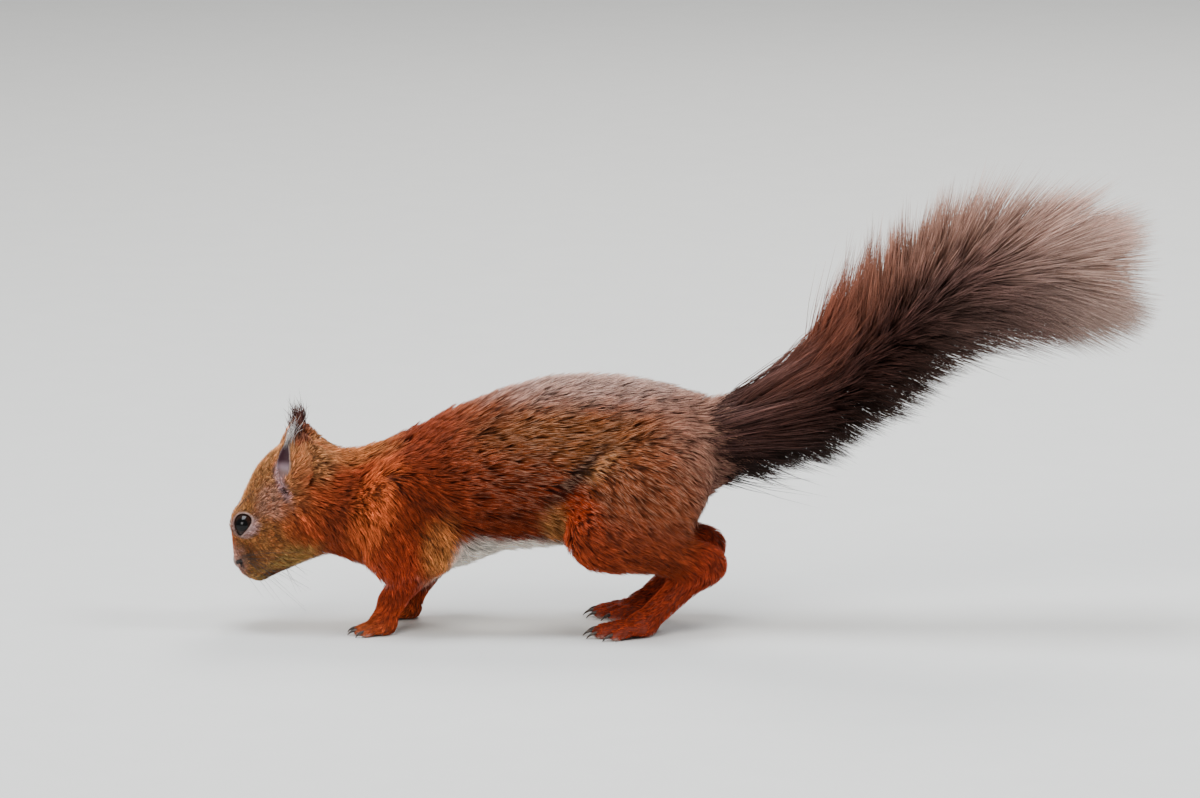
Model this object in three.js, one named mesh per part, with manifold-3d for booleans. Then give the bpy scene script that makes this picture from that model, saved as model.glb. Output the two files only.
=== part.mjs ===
// A life-size red squirrel, foraging on all fours with its head low and its tail held out behind.
//
// The coat's outer form is one rounded field: a smooth union of a trunk loft, ellipsoids and tapered limbs.
// Each sub-part is a closed mesh of that field, cut out along its own claim, so that neighbours meet with a
// thin gap and the outline stays whole. Digits and claws are low solids joined to their paw.
//
// Millimetres. +X is the animal's left, +Y runs from nose to tail, +Z is up, and the soles stand on Z = 0.
import * as THREE from "three";
import { mergeVertices } from "three/addons/utils/BufferGeometryUtils.js";
import Module from "manifold-3d";

const wasm = await Module();
wasm.setup();

const { sin, cos, hypot, min, max, abs, PI } = Math;
const radians = THREE.MathUtils.degToRad;
const clamp = THREE.MathUtils.clamp;

// ---------------------------------------------------------------- driving dimensions

const GAP = 0.35; // between neighbouring sub-parts
const SIDES = { left: 1, right: -1 };

// The head hangs nose-down from the neck. Its own frame runs back from the nose tip, up, and to the left.
const HEAD_PITCH = radians(42);
const NOSE_TIP = [0, -180.8, 25];

// The trunk and neck, as the outline's top, its underside and its half width at stations along Y.
const TRUNK = [
  { at: "nape", y: -158, top: 70, under: 30.8, half: 12 },
  { at: "throat", y: -142, top: 70.4, under: 29.2, half: 16 },
  { at: "neck base", y: -127, top: 72.6, under: 24, half: 20 },
  { at: "breast", y: -112, top: 78, under: 23.5, half: 23.5 },
  { at: "withers", y: -94, top: 87, under: 22.8, half: 25.5 },
  { at: "ribs", y: -74, top: 95, under: 30, half: 26.5 },
  { at: "loin", y: -52, top: 100.6, under: 32.2, half: 27.5 },
  { at: "hips", y: -28, top: 100.6, under: 35, half: 27 },
  { at: "rump", y: -6, top: 96, under: 43, half: 22 },
  { at: "tail root", y: 9, top: 84, under: 54, half: 12 },
];
const TRUNK_TAPER = 0.12; // how much narrower the back is than the belly

// The brush of the tail, as circles of hair round its middle line.
const TAIL = [
  { y: -6, z: 73, r: 15 },
  { y: 10, z: 75.5, r: 16.5 },
  { y: 28, z: 80.2, r: 19.2 },
  { y: 47, z: 88.8, r: 23 },
  { y: 70, z: 108, r: 26.6 },
  { y: 94, z: 130.5, r: 29.6 },
  { y: 112, z: 141, r: 31 },
  { y: 130, z: 144, r: 33.5 },
  { y: 149, z: 142.5, r: 31.6 },
];
const TAIL_WIDTH = 0.9; // the brush's width over its height

// Legs, as joints of the left side from the trunk down. The right leg is set back by its stagger.
const FORELEG = {
  shoulder: [17, -112, 54],
  breast: [17, -118.5, 30],
  elbow: [21, -102, 36],
  wrist: [17.5, -117, 13],
  ball: [18, -120.5, 4.1],
  stagger: { left: 0, right: 9 },
};
const HINDLEG = {
  haunch: [20.5, -19.5, 56],
  knee: [26, -34.5, 40.5],
  hock: [21.5, 6.5, 28.5],
  ball: [22, -19, 4.4],
  stagger: { left: 0, right: 0 },
};
const FINGERS = {
  spread: [-26, -9, 8, 26],
  length: [7.6, 9.6, 9.4, 7.2],
  pitch: 2.6,
  radius: 1.9,
  claw: 3.4,
};
const TOES = {
  spread: [-24, -9, 1, 11, 26],
  length: [12, 16.5, 17.5, 16.5, 11.5],
  pitch: 2.9,
  radius: 2.3,
  claw: 4.6,
};
const CLAW = { root: 0.85, tip: 0.28 };

const EYE = { back: 15.8, up: 8.4, side: 8.7, radius: 4.8 };
const EAR = {
  root: [12, -156.5, 56],
  tip: [15.7, -153.6, 81],
  facing: [0.55, -0.83, 0.1],
  width: 7.4,
  depth: 5,
  wall: 1.5,
  taper: 0.36,
};
const TUFT = { root: [15.5, -154, 78.2], tip: [17, -153.5, 87.3], radius: 2.9, point: 0.7 };

// ---------------------------------------------------------------- fields: signed distances to rounded forms

/** The point of the head's own frame, in the model's frame. */
const inHead = (back, up, side = 0) => [
  side,
  NOSE_TIP[1] + back * cos(HEAD_PITCH) - up * sin(HEAD_PITCH),
  NOSE_TIP[2] + back * sin(HEAD_PITCH) + up * cos(HEAD_PITCH),
];

/** An ellipsoid with radii [side, back, up], pitched about X. */
function ball([cx, cy, cz], [rx, ry, rz], pitch = 0) {
  const c = cos(pitch), s = sin(pitch);
  return (x, y, z) => {
    const dx = x - cx, dy = c * (y - cy) + s * (z - cz), dz = c * (z - cz) - s * (y - cy);
    const k = hypot(dx / rx, dy / ry, dz / rz);
    const g = hypot(dx / rx ** 2, dy / ry ** 2, dz / rz ** 2);
    return g > 1e-9 ? (k * (k - 1)) / g : -min(rx, ry, rz);
  };
}

/** A limb from a to b whose radius runs from ra to rb, made wide times as broad across X. */
function limb(a, b, ra, rb, wide = 1) {
  const [ux, uy, uz] = [(b[0] - a[0]) / wide, b[1] - a[1], b[2] - a[2]];
  const length2 = ux * ux + uy * uy + uz * uz;
  return (x, y, z) => {
    const px = (x - a[0]) / wide, py = y - a[1], pz = z - a[2];
    const t = clamp((px * ux + py * uy + pz * uz) / length2, 0, 1);
    return hypot(px - t * ux, py - t * uy, pz - t * uz) - (ra + t * (rb - ra));
  };
}

/** A smooth value between stations: Catmull-Rom on the named key. */
function along(stations, key, y) {
  const last = stations.length - 1;
  let i = 0;
  while (i < last - 1 && y > stations[i + 1].y) i++;
  const [p0, p1, p2, p3] = [i - 1, i, i + 1, i + 2].map((n) => stations[clamp(n, 0, last)]);
  const wide = p2.y - p1.y, t = clamp((y - p1.y) / wide, 0, 1);
  const m1 = (wide * (p2[key] - p0[key])) / (p2.y - p0.y);
  const m2 = (wide * (p3[key] - p1[key])) / (p3.y - p1.y);
  return (2 * t ** 3 - 3 * t ** 2 + 1) * p1[key] + (t ** 3 - 2 * t ** 2 + t) * m1
    + (3 * t ** 2 - 2 * t ** 3) * p2[key] + (t ** 3 - t ** 2) * m2;
}

/** The trunk: an egg-shaped section, narrower above, swept along the stations. */
function trunk(x, y, z) {
  const inside = clamp(y, TRUNK[0].y, TRUNK[TRUNK.length - 1].y);
  const top = along(TRUNK, "top", inside), under = along(TRUNK, "under", inside);
  const high = (top - under) / 2, dz = z - (top + under) / 2;
  const half = along(TRUNK, "half", inside) * (1 - TRUNK_TAPER * clamp(dz / high, -1, 1));
  const k = hypot(x / half, dz / high), g = hypot(x / half ** 2, dz / high ** 2);
  const d = g > 1e-9 ? (k * (k - 1)) / g : -min(half, high);
  return y === inside ? d : hypot(max(d, 0), y - inside);
}

/** Joins fields one after another, each with its own rounding in the crease. */
function join(pieces) {
  return (x, y, z) => pieces.reduce((sum, [field, round]) => {
    const d = field(x, y, z), h = max(round - abs(sum - d), 0) / round;
    return min(sum, d) - (h * h * round) / 4;
  }, 1e3);
}

// ---------------------------------------------------------------- anatomy

/** A point given for the left side, on either side and set back. */
const onSide = ([x, y, z], side, back = 0) => [x * SIDES[side], y + back, z];

const head = join([
  [limb(inHead(6.2, -2.2), inHead(15.6, 2.7), 5.2, 10.2, 1.1), 4],
  [limb(inHead(7.4, -9), inHead(25, -8.6), 5.3, 10.4), 5],
  ...[1, -1].map((s) => [ball(inHead(7.2, -5.6, 3.4 * s), [4.3, 5.4, 5], HEAD_PITCH), 3]),
  [ball(inHead(24, 6.2), [11, 10, 9.4], HEAD_PITCH), 5],
  [ball(inHead(39, 6.8), [14.5, 18.4, 15.9], HEAD_PITCH), 8],
  ...[1, -1].map((s) => [ball(inHead(23, -4.8, 7 * s), [8.6, 13, 11.4], HEAD_PITCH), 6]),
  ...[1, -1].map((s) => [ball(inHead(17.4, 8, 5.4 * s), [6, 6.8, 6.4], HEAD_PITCH), 3]),
]);

const tail = join(TAIL.slice(1).map((end, i) => {
  const start = TAIL[i];
  return [limb([0, start.y, start.z], [0, end.y, end.z], start.r, end.r, TAIL_WIDTH), 4];
}));

/** A foreleg without its fingers. */
function foreleg(side) {
  const at = (joint) => onSide(FORELEG[joint], side, FORELEG.stagger[side]);
  return join([
    [limb(at("shoulder"), at("elbow"), 15.5, 11.5, 0.8), 4],
    [limb(at("shoulder"), at("breast"), 14, 8.4, 0.8), 5],
    [limb(at("elbow"), at("wrist"), 10.4, 4.9, 0.9), 6],
    [limb(at("wrist"), at("ball"), 4.7, 4.4, 1.2), 3],
    [ball(at("ball"), [6.8, 5.6, 4.9]), 3],
  ]);
}

/** A hind leg without its toes. */
function hindleg(side) {
  const at = (joint) => onSide(HINDLEG[joint], side, HINDLEG.stagger[side]);
  return join([
    [ball(at("haunch"), [15.5, 33, 23.5], radians(44)), 4],
    [limb(at("haunch"), at("knee"), 21, 11.8, 0.7), 8],
    [limb(at("knee"), at("hock"), 12.8, 7.2, 0.75), 8],
    [limb(at("hock"), at("ball"), 6.6, 4.7), 6],
    [ball(at("ball"), [7.8, 6.4, 5.3]), 3],
  ]);
}

const body = join([
  [trunk, 4],
  [head, 9],
  ...["left", "right"].flatMap((side) => [[foreleg(side), 9], [hindleg(side), 9]]),
  [tail, 12],
]);

// ---------------------------------------------------------------- meshes and cuts

/** Meshes a field's zero surface within a box by surface nets: a vertex in each cell that it crosses. */
function netSurface(field, [low, high], cell) {
  const step = [].concat(cell).length === 3 ? cell : [cell, cell, cell];
  const start = low.map((l, m) => l - 2 * step[m]);
  const count = high.map((h, m) => Math.ceil((h - start[m]) / step[m]) + 3);
  const stride = [1, count[0], count[0] * count[1]];
  const cells = function* (first, last) {
    for (let k = first; k < count[2] - last; k++)
      for (let j = first; j < count[1] - last; j++)
        for (let i = first; i < count[0] - last; i++) yield [i, j, k];
  };
  const at = ([i, j, k]) => i + j * stride[1] + k * stride[2];
  const boxed = (x, y, z) => max(field(x, y, z), ...[x, y, z].flatMap((p, m) => [low[m] - p, p - high[m]]));

  const values = new Float32Array(count[0] * count[1] * count[2]);
  for (const c of cells(0, 0)) values[at(c)] = boxed(...c.map((n, m) => start[m] + n * step[m]));

  const vertices = [], index = new Map();
  for (const c of cells(0, 1)) {
    const crossing = meanCrossing(values, at(c), stride);
    if (!crossing) continue;
    index.set(at(c), vertices.length / 3);
    vertices.push(...onSurface(boxed, c.map((n, m) => start[m] + (n + crossing[m]) * step[m]), step));
  }

  const faces = [];
  for (const c of cells(1, 1))
    for (const [axis, u, v] of [[0, 1, 2], [1, 2, 0], [2, 0, 1]]) {
      const from = at(c), inside = values[from] < 0;
      if (inside === values[from + stride[axis]] < 0) continue;
      const ring = [from, from - stride[u], from - stride[u] - stride[v], from - stride[v]];
      const quad = ring.map((n) => index.get(n));
      if (!inside) quad.reverse();
      faces.push(quad[0], quad[1], quad[2], quad[0], quad[2], quad[3]);
    }
  return geometry(vertices, faces);
}

/** Where a cell's crossed edges are crossed on average, from 0 to 1 along each axis, or null. */
function meanCrossing(values, corner, stride) {
  const sum = [0, 0, 0];
  let found = 0;
  for (const [axis, u, v] of [[0, 1, 2], [1, 2, 0], [2, 0, 1]])
    for (const [du, dv] of [[0, 0], [1, 0], [0, 1], [1, 1]]) {
      const from = corner + du * stride[u] + dv * stride[v];
      const a = values[from], b = values[from + stride[axis]];
      if (a < 0 === b < 0) continue;
      sum[axis] += a / (a - b);
      sum[u] += du;
      sum[v] += dv;
      found++;
    }
  return found ? sum.map((s) => s / found) : null;
}

/** Moves a point onto the field's surface, by at most half a cell along each axis. */
function onSurface(field, start, step) {
  const h = 0.05;
  let point = start;
  for (let n = 0; n < 3; n++) {
    const d = field(...point);
    const slope = point.map((_, m) => (field(...point.map((p, i) => (i === m ? p + h : p))) - d) / h);
    const steep = max(hypot(...slope) ** 2, 0.2);
    point = point.map((p, m) => {
      const moved = p - (d * slope[m]) / steep;
      return clamp(moved, start[m] - step[m] / 2, start[m] + step[m] / 2);
    });
  }
  return point;
}

function geometry(vertices, faces) {
  return new THREE.BufferGeometry()
    .setAttribute("position", new THREE.BufferAttribute(new Float32Array(vertices), 3))
    .setIndex(faces);
}

/** A closed three.js geometry as a solid that can be joined and cut. */
function solid(shape) {
  const plain = shape.clone();
  for (const name of ["normal", "uv"]) plain.deleteAttribute(name);
  const merged = mergeVertices(plain, 1e-4);
  return new wasm.Manifold(new wasm.Mesh({
    numProp: 3,
    vertProperties: merged.attributes.position.array,
    triVerts: new Uint32Array(merged.index.array),
  }));
}

/** A solid back as a geometry, with flat facets. */
function facets(made) {
  const { vertProperties, triVerts } = made.getMesh();
  const flat = geometry(vertProperties, new THREE.BufferAttribute(triVerts, 1)).toNonIndexed();
  flat.computeVertexNormals();
  return flat;
}

// ---------------------------------------------------------------- claims: where each sub-part is cut out

/** A block: centre, size and pitch about X in degrees. */
const block = (centre, size, pitch = 0) => (grown) =>
  new THREE.BoxGeometry(...size.map((s) => s + 2 * grown)).rotateX(radians(pitch)).translate(...centre);

/** A drum lying along X: centre, size and pitch about X in degrees. */
const drum = (centre, [deep, long, high], pitch = 0) => (grown) =>
  new THREE.CylinderGeometry(1, 1, deep + 2 * grown, 16)
    .rotateZ(PI / 2)
    .scale(1, long / 2 + grown, high / 2 + grown)
    .rotateX(radians(pitch))
    .translate(...centre);

/** An egg: centre and radii. */
const egg = (centre, radii) => (grown) =>
  new THREE.SphereGeometry(1, 12, 9).scale(...radii.map((r) => r + grown)).translate(...centre);

/** All that lies in front of (way -1) or behind (way 1) a plane across the body through y and z. */
const across = (way, y, z, pitch) => (grown) =>
  new THREE.BoxGeometry(400, 400, 400)
    .translate(0, way * (200 - grown), 0)
    .rotateX(radians(pitch))
    .translate(0, y, z);

/** An ear's form: a sphere drawn out into a slim pointed egg, leaning out and facing forwards. */
const spoon = (side, inset = 0) => (grown) => {
  const [root, tip] = [EAR.root, EAR.tip].map((point) => new THREE.Vector3(...onSide(point, side)));
  const up = tip.clone().sub(root), long = up.length() / 2 + grown - 0.8 * inset;
  const aside = new THREE.Vector3(...onSide(EAR.facing, side)).cross(up).normalize();
  const ahead = up.clone().normalize().cross(aside).negate();
  const shape = new THREE.SphereGeometry(1, 12, 8), position = shape.attributes.position;
  for (let i = 0; i < position.count; i++) {
    const slim = 1 - EAR.taper * position.getY(i);
    position.setX(i, position.getX(i) * slim * (EAR.width + grown - 0.7 * inset));
    position.setZ(i, position.getZ(i) * slim * (EAR.depth + grown));
    position.setY(i, position.getY(i) * long);
  }
  const centre = root.clone().lerp(tip, 0.5).addScaledVector(ahead, 1.2 * inset);
  const basis = new THREE.Matrix4().makeBasis(aside, up.normalize(), aside.clone().cross(up));
  return shape.applyMatrix4(basis.setPosition(centre));
};

// ---------------------------------------------------------------- digits and claws

/** The digits of a paw: fanned out from its ball, down to the ground. */
function digits(ball, { spread, length, pitch, radius }, side) {
  return spread.map((degrees, i) => {
    const turn = radians(degrees) * SIDES[side];
    const aside = (i - (spread.length - 1) / 2) * pitch * SIDES[side];
    const root = new THREE.Vector3(ball[0] + aside, ball[1], ball[2] - 0.8);
    const way = new THREE.Vector3(sin(turn), -cos(turn), 0);
    const tip = root.clone().addScaledVector(way, length[i]).setZ(radius * 0.8);
    return { root, tip, way };
  });
}

/** A low sphere drawn out into a tapered rod with round ends. */
function rod(from, to, fromRadius, toRadius) {
  const shape = new THREE.SphereGeometry(1, 5, 4), position = shape.attributes.position;
  const long = from.distanceTo(to), v = new THREE.Vector3();
  for (let i = 0; i < position.count; i++) {
    v.fromBufferAttribute(position, i);
    const far = v.y > 0;
    v.multiplyScalar(far ? toRadius : fromRadius).setY(v.y + (far ? long : 0));
    position.setXYZ(i, v.x, v.y, v.z);
  }
  return laid(shape, from, to);
}

/** A claw: a slim cone that runs on from a digit's tip, down to the ground. */
function claw({ tip, way }, { radius, claw: length }) {
  const from = tip.clone().setZ(tip.z + 0.5);
  const to = tip.clone().addScaledVector(way, radius + length * 0.7).setZ(0.4);
  const long = from.distanceTo(to);
  return laid(new THREE.CylinderGeometry(CLAW.tip, CLAW.root, long, 4).translate(0, long / 2, 0), from, to);
}

/** Lays a shape that stands on Y along the way between two points. */
function laid(shape, from, to) {
  const way = to.clone().sub(from).normalize();
  const turn = new THREE.Quaternion().setFromUnitVectors(new THREE.Vector3(0, 1, 0), way);
  return shape.applyQuaternion(turn).translate(...from.toArray());
}

/** Everything that is joined to a paw. */
function paw(leg, kind, side) {
  return digits(onSide(leg.ball, side, leg.stagger[side]), kind, side).flatMap((digit) => [
    rod(digit.root, digit.tip, kind.radius * 1.15, kind.radius),
    claw(digit, kind),
  ]);
}

// ---------------------------------------------------------------- the sub-parts, in the order of cutting

const MATERIALS = {
  eye: { color: 0x120c0a, roughness: 0.08 },
  nose: { color: 0x9a6f66, roughness: 0.55 },
  face: { color: 0x8a6448, roughness: 0.9 },
  ear: { color: 0x7d4a35, roughness: 0.9 },
  dark: { color: 0x2e1d18, roughness: 0.95 },
  russet: { color: 0x9c4418, roughness: 0.92 },
  flank: { color: 0x7c4428, roughness: 0.92 },
  back: { color: 0x74503f, roughness: 0.92 },
  brush: { color: 0x4d3029, roughness: 0.96 },
};

/** The same sub-part on both sides, from its description for a side. */
const pair = (name, describe) =>
  ["left", "right"].map((side) => ({ name: `${name}_${side}`, ...describe(side) }));

/** A left-hand box on either side. */
const boxOn = (side, [low, high], back = 0) => {
  const [a, b] = [onSide(low, side, back), onSide(high, side, back)];
  return [[min(a[0], b[0]), a[1], a[2]], [max(a[0], b[0]), b[1], b[2]]];
};

/** A leg's piece, set back by that leg's stagger. */
const legPiece = (leg, slot, cell, shape, [centre, size, pitch], box, kind) => (side) => ({
  slot,
  cell,
  claim: shape(onSide(centre, side, leg.stagger[side]), size, pitch),
  box: boxOn(side, box, leg.stagger[side]),
  extras: kind ? paw(leg, kind, side) : [],
});

const eyeball = (side) =>
  egg(onSide(inHead(EYE.back, EYE.up, EYE.side), side), [EYE.radius, EYE.radius, EYE.radius]);

/** An ear: a hollow spoon that stands on the head. */
function ear(side) {
  const box = boxOn(side, [[-4, -180, 40], [34, -130, 80]]);
  const nearHead = netSurface((x, y, z) => body(x, y, z) - GAP, box, 5);
  return solid(spoon(side)(0)).subtract(solid(spoon(side, EAR.wall)(0))).subtract(solid(nearHead));
}

/** The tuft of hair on an ear's tip. */
function tuft(side) {
  const [root, tip] = [TUFT.root, TUFT.tip].map((point) => new THREE.Vector3(...onSide(point, side)));
  return solid(rod(root, tip, TUFT.radius, TUFT.point)).subtract(solid(spoon(side)(GAP)));
}

const LEG_PARTS = [
  ...pair("forepaw", legPiece(FORELEG, "russet", 4.6, block,
    [[20, -122, 5], [28, 36, 10]], [[4, -145, -3], [34, -95, 20]], FINGERS)),
  ...pair("forearm", legPiece(FORELEG, "russet", 5.2, drum,
    [[23, -107, 24], [26, 27, 46], -32], [[4, -140, 2], [40, -75, 50]])),
  ...pair("upper_arm", legPiece(FORELEG, "russet", 6.2, drum,
    [[26, -106, 46], [26, 33, 42], 28], [[4, -145, 10], [45, -65, 80]])),
  ...pair("hind_foot", legPiece(HINDLEG, "russet", 5.2, block,
    [[24, -12, 12], [34, 76, 24]], [[3, -55, -3], [45, 30, 45]], TOES)),
  ...pair("shank", legPiece(HINDLEG, "russet", 7, drum,
    [[27, -14, 31], [32, 64, 22], -12], [[3, -60, 5], [48, 35, 60]])),
  ...pair("thigh", legPiece(HINDLEG, "flank", 9.2, drum,
    [[28, -18, 55], [32, 70, 55], 46], [[3, -70, 10], [50, 40, 105]])),
];

/** A piece that crosses the middle line: its name, slot, cell, claim and box. */
const middlePiece = (name, slot, cell, claim, box) => ({ name, slot, cell, claim, box });

const PARTS = [
  ...pair("eye", (side) => ({ slot: "eye", own: solid(eyeball(side)(0)), claim: eyeball(side) })),
  ...pair("ear", (side) => ({ slot: "ear", own: ear(side) })),
  ...pair("ear_tuft", (side) => ({ slot: "dark", own: tuft(side) })),
  middlePiece("nose", "nose", 2.3, egg(inHead(2.4, -1.6), [3.8, 3.6, 3.6]), [[-6, -190, 15], [6, -170, 36]]),
  middlePiece("head", "face", 5.1, across(-1, -150, 52, -8), [[-24, -190, 10], [24, -138, 85]]),
  ...LEG_PARTS,
  middlePiece("tail_tip", "brush", 12, across(1, 103, 134, 33), [[-45, 60, 90], [45, 190, 190]]),
  middlePiece("tail_middle", "brush", 11, across(1, 48, 89, 40), [[-45, 10, 50], [45, 150, 190]]),
  middlePiece("tail_base", "brush", 9.5, across(1, 9, 76, 14), [[-45, -14, 30], [45, 75, 140]]),
  middlePiece("neck", "russet", 8, across(-1, -128, 50, 6), [[-34, -165, 10], [34, -110, 90]]),
  middlePiece("chest", "russet", [10, 13, 10], across(-1, -86, 50, 4), [[-38, -140, 10], [38, -66, 110]]),
  middlePiece("loin", "back", [10, 15, 10], across(-1, -44, 50, 0), [[-45, -100, 15], [45, -28, 115]]),
  middlePiece("rump", "back", [10, 11, 10], across(-1, 40, 50, 0), [[-45, -60, 15], [45, 30, 115]]),
];

const group = new THREE.Group();
group.name = "squirrel";

const taken = [];
for (const { name, slot, own, cell, box, claim, extras = [] } of PARTS) {
  let made = own ?? solid(netSurface(body, box, cell));
  if (!own) {
    for (const extra of extras) made = made.add(solid(extra));
    made = made.intersect(solid(claim(0)));
    for (const other of taken) made = made.subtract(solid(other(GAP)));
  }
  if (claim) taken.push(claim);
  const whole = made.decompose().sort((a, b) => b.volume() - a.volume())[0];
  const finish = new THREE.MeshStandardMaterial({ name: slot, ...MATERIALS[slot] });
  const mesh = new THREE.Mesh(facets(whole), finish);
  mesh.name = name;
  group.add(mesh);
}

// The origin is the middle of the footprint's box, on the ground.
const middle = new THREE.Box3().setFromObject(group).getCenter(new THREE.Vector3());
for (const mesh of group.children) mesh.geometry.translate(-middle.x, -middle.y, 0);

export default group;
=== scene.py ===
"""The looks of a life-size red squirrel that noses along the ground, its tail held out behind.

One skin closes over the flesh, and lies within the part's outer form by the depth of the coat. Tufts of
fur stand on it and reach out to that form, so that the part's outline is the coat's own. The anatomy is in
millimetres in the part's frame, with +X on the animal's left, -Y ahead and +Z up. Blender gets metres.
"""

from __future__ import annotations

import logging
import math
from dataclasses import dataclass, field
from enum import Enum
from typing import Callable, ClassVar, Iterable, Sequence

import bpy
import numpy as np
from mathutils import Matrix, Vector
from mathutils.kdtree import KDTree

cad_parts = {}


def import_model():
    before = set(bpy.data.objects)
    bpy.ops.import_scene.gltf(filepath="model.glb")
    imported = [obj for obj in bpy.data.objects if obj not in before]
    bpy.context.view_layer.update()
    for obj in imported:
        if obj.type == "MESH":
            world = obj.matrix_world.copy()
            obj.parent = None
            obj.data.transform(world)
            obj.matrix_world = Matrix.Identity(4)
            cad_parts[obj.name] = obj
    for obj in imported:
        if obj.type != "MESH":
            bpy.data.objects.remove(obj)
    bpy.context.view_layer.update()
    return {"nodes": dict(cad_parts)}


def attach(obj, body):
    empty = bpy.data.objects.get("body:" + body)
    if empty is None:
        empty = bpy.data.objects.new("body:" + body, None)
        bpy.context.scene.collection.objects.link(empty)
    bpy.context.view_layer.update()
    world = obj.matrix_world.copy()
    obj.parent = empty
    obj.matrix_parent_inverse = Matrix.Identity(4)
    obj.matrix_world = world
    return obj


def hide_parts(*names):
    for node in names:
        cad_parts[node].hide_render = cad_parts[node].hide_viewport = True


Array = np.ndarray
Point = tuple[float, float, float]

LOG = logging.getLogger("squirrel")
METRE = 1000.0  # millimetres
SIDES = {"left": 1, "right": -1}
LOWEST = 0.3  # how near the ground hair and claws may come
TINY = 1e-9
CHUNK = 30000  # how many points are reckoned at a time
FELT = 4  # how much further off than its rounding a form is still felt
FAR = 50.0  # the distance that is given where no form is near


# ---------------------------------------------------------------- driving dimensions, in millimetres

HEAD_PITCH = math.radians(42)
NOSE_TIP = (0.0, -180.8, 25.0)


@dataclass(frozen=True)
class Station:
    """A place along the trunk: the outline's top and underside, half its width and the coat's depth."""

    name: str
    y: float
    top: float
    under: float
    half: float
    coat: float


TRUNK = (
    Station("nape", -158, 70, 30.8, 12, 2.4),
    Station("throat", -142, 70.4, 29.2, 16, 2.8),
    Station("neck base", -127, 72.6, 24, 20, 3.2),
    Station("breast", -112, 78, 23.5, 23.5, 3.6),
    Station("withers", -94, 87, 22.8, 25.5, 4.0),
    Station("ribs", -74, 95, 30, 26.5, 4.0),
    Station("loin", -52, 100.6, 32.2, 27.5, 4.4),
    Station("hips", -28, 100.6, 35, 27, 4.8),
    Station("rump", -6, 96, 43, 22, 5.0),
    Station("tail root", 9, 84, 54, 12, 5.0),
)
TRUNK_TAPER = 0.12


@dataclass(frozen=True)
class TailStation:
    """A place along the tail: its middle line, the radius of its brush and of the tail within."""

    y: float
    z: float
    brush: float
    core: float


TAIL = (
    TailStation(-6, 73, 15, 8.6),
    TailStation(10, 75.5, 16.5, 7.8),
    TailStation(28, 80.2, 19.2, 6.6),
    TailStation(47, 88.8, 23, 5.8),
    TailStation(70, 108, 26.6, 5.0),
    TailStation(94, 130.5, 29.6, 4.4),
    TailStation(112, 141, 31, 3.9),
    TailStation(130, 144, 33.5, 3.4),
    TailStation(149, 142.5, 31.6, 2.6),
)
TAIL_WIDTH = 0.9


@dataclass(frozen=True)
class Leg:
    """The joints of a leg on the left side, from the trunk down, and how far each side's leg is set back."""

    top: Point
    middle: Point
    ankle: Point
    ball: Point
    stagger: dict[str, float]

    def joints(self, side: str) -> tuple[Point, Point, Point, Point]:
        """The joints on either side."""
        places = (self.top, self.middle, self.ankle, self.ball)
        return tuple(on_side(place, side, self.stagger[side]) for place in places)


@dataclass(frozen=True)
class Digits:
    """The digits of a paw, from the inner one out: how they fan, and their sizes."""

    spread: tuple[float, ...]
    length: tuple[float, ...]
    pitch: float
    radius: float
    claw: float


FORELEG = Leg((17, -112, 54), (21, -102, 36), (17.5, -117, 13), (18, -120.5, 4.1), {"left": 0, "right": 9})
HINDLEG = Leg((20.5, -19.5, 56), (26, -34.5, 40.5), (21.5, 6.5, 28.5), (22, -19, 4.4),
              dict.fromkeys(SIDES, 0))
BREAST = (17.0, -118.5, 30.0)
FINGERS = Digits((-26, -9, 8, 26), (7.6, 9.6, 9.4, 7.2), 2.6, 1.9, 3.4)
TOES = Digits((-24, -9, 1, 11, 26), (12, 16.5, 17.5, 16.5, 11.5), 2.9, 2.3, 4.6)


def in_head(back: float, up: float, side: float = 0.0) -> Point:
    """A point of the head's own frame, which runs back from the nose tip, in the part's frame."""
    c, s = math.cos(HEAD_PITCH), math.sin(HEAD_PITCH)
    return side, NOSE_TIP[1] + back * c - up * s, NOSE_TIP[2] + back * s + up * c


def on_side(point: Point, side: str, back: float = 0.0) -> Point:
    """A left-hand point on either side, set back."""
    return point[0] * SIDES[side], point[1] + back, point[2]


def unit(vectors: Array) -> Array:
    """Vectors of length one, along the last axis."""
    vectors = np.asarray(vectors, float)
    return vectors / np.maximum(np.linalg.norm(vectors, axis=-1, keepdims=True), TINY)


def rise(value: Array, low: float, high: float) -> Array:
    """A smooth step from 0 at low to 1 at high, or down if high is the lower."""
    t = np.clip((value - low) / (high - low), 0, 1)
    return t * t * (3 - 2 * t)


# ---------------------------------------------------------------- rounded forms, as signed distances


def oval(parts: Sequence[Array], radii: Sequence[Array | float]) -> tuple[Array, Array]:
    """How far out of an oval points are, as 1 at its edge, and how fast that grows."""
    out, speed = 0.0, 0.0
    for part, radius in zip(reversed(parts), reversed(radii)):
        out = (part / radius) ** 2 + out
        speed = (part / radius**2) ** 2 + speed
    return np.sqrt(out), np.sqrt(speed)


def apart(out: Array, speed: Array, middle: Array | float) -> Array:
    """The signed distance from an oval, and that of its middle where nothing tells the way."""
    return np.where(speed > TINY, out * (out - 1) / np.maximum(speed, TINY), middle)


def lesser(first: Array, second: Array, rounding: float) -> Array:
    """The lesser of two distances, with the crease between them rounded."""
    blend = np.maximum(rounding - np.abs(first - second), 0)
    return np.minimum(first, second) - blend * blend / (4 * rounding)


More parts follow.
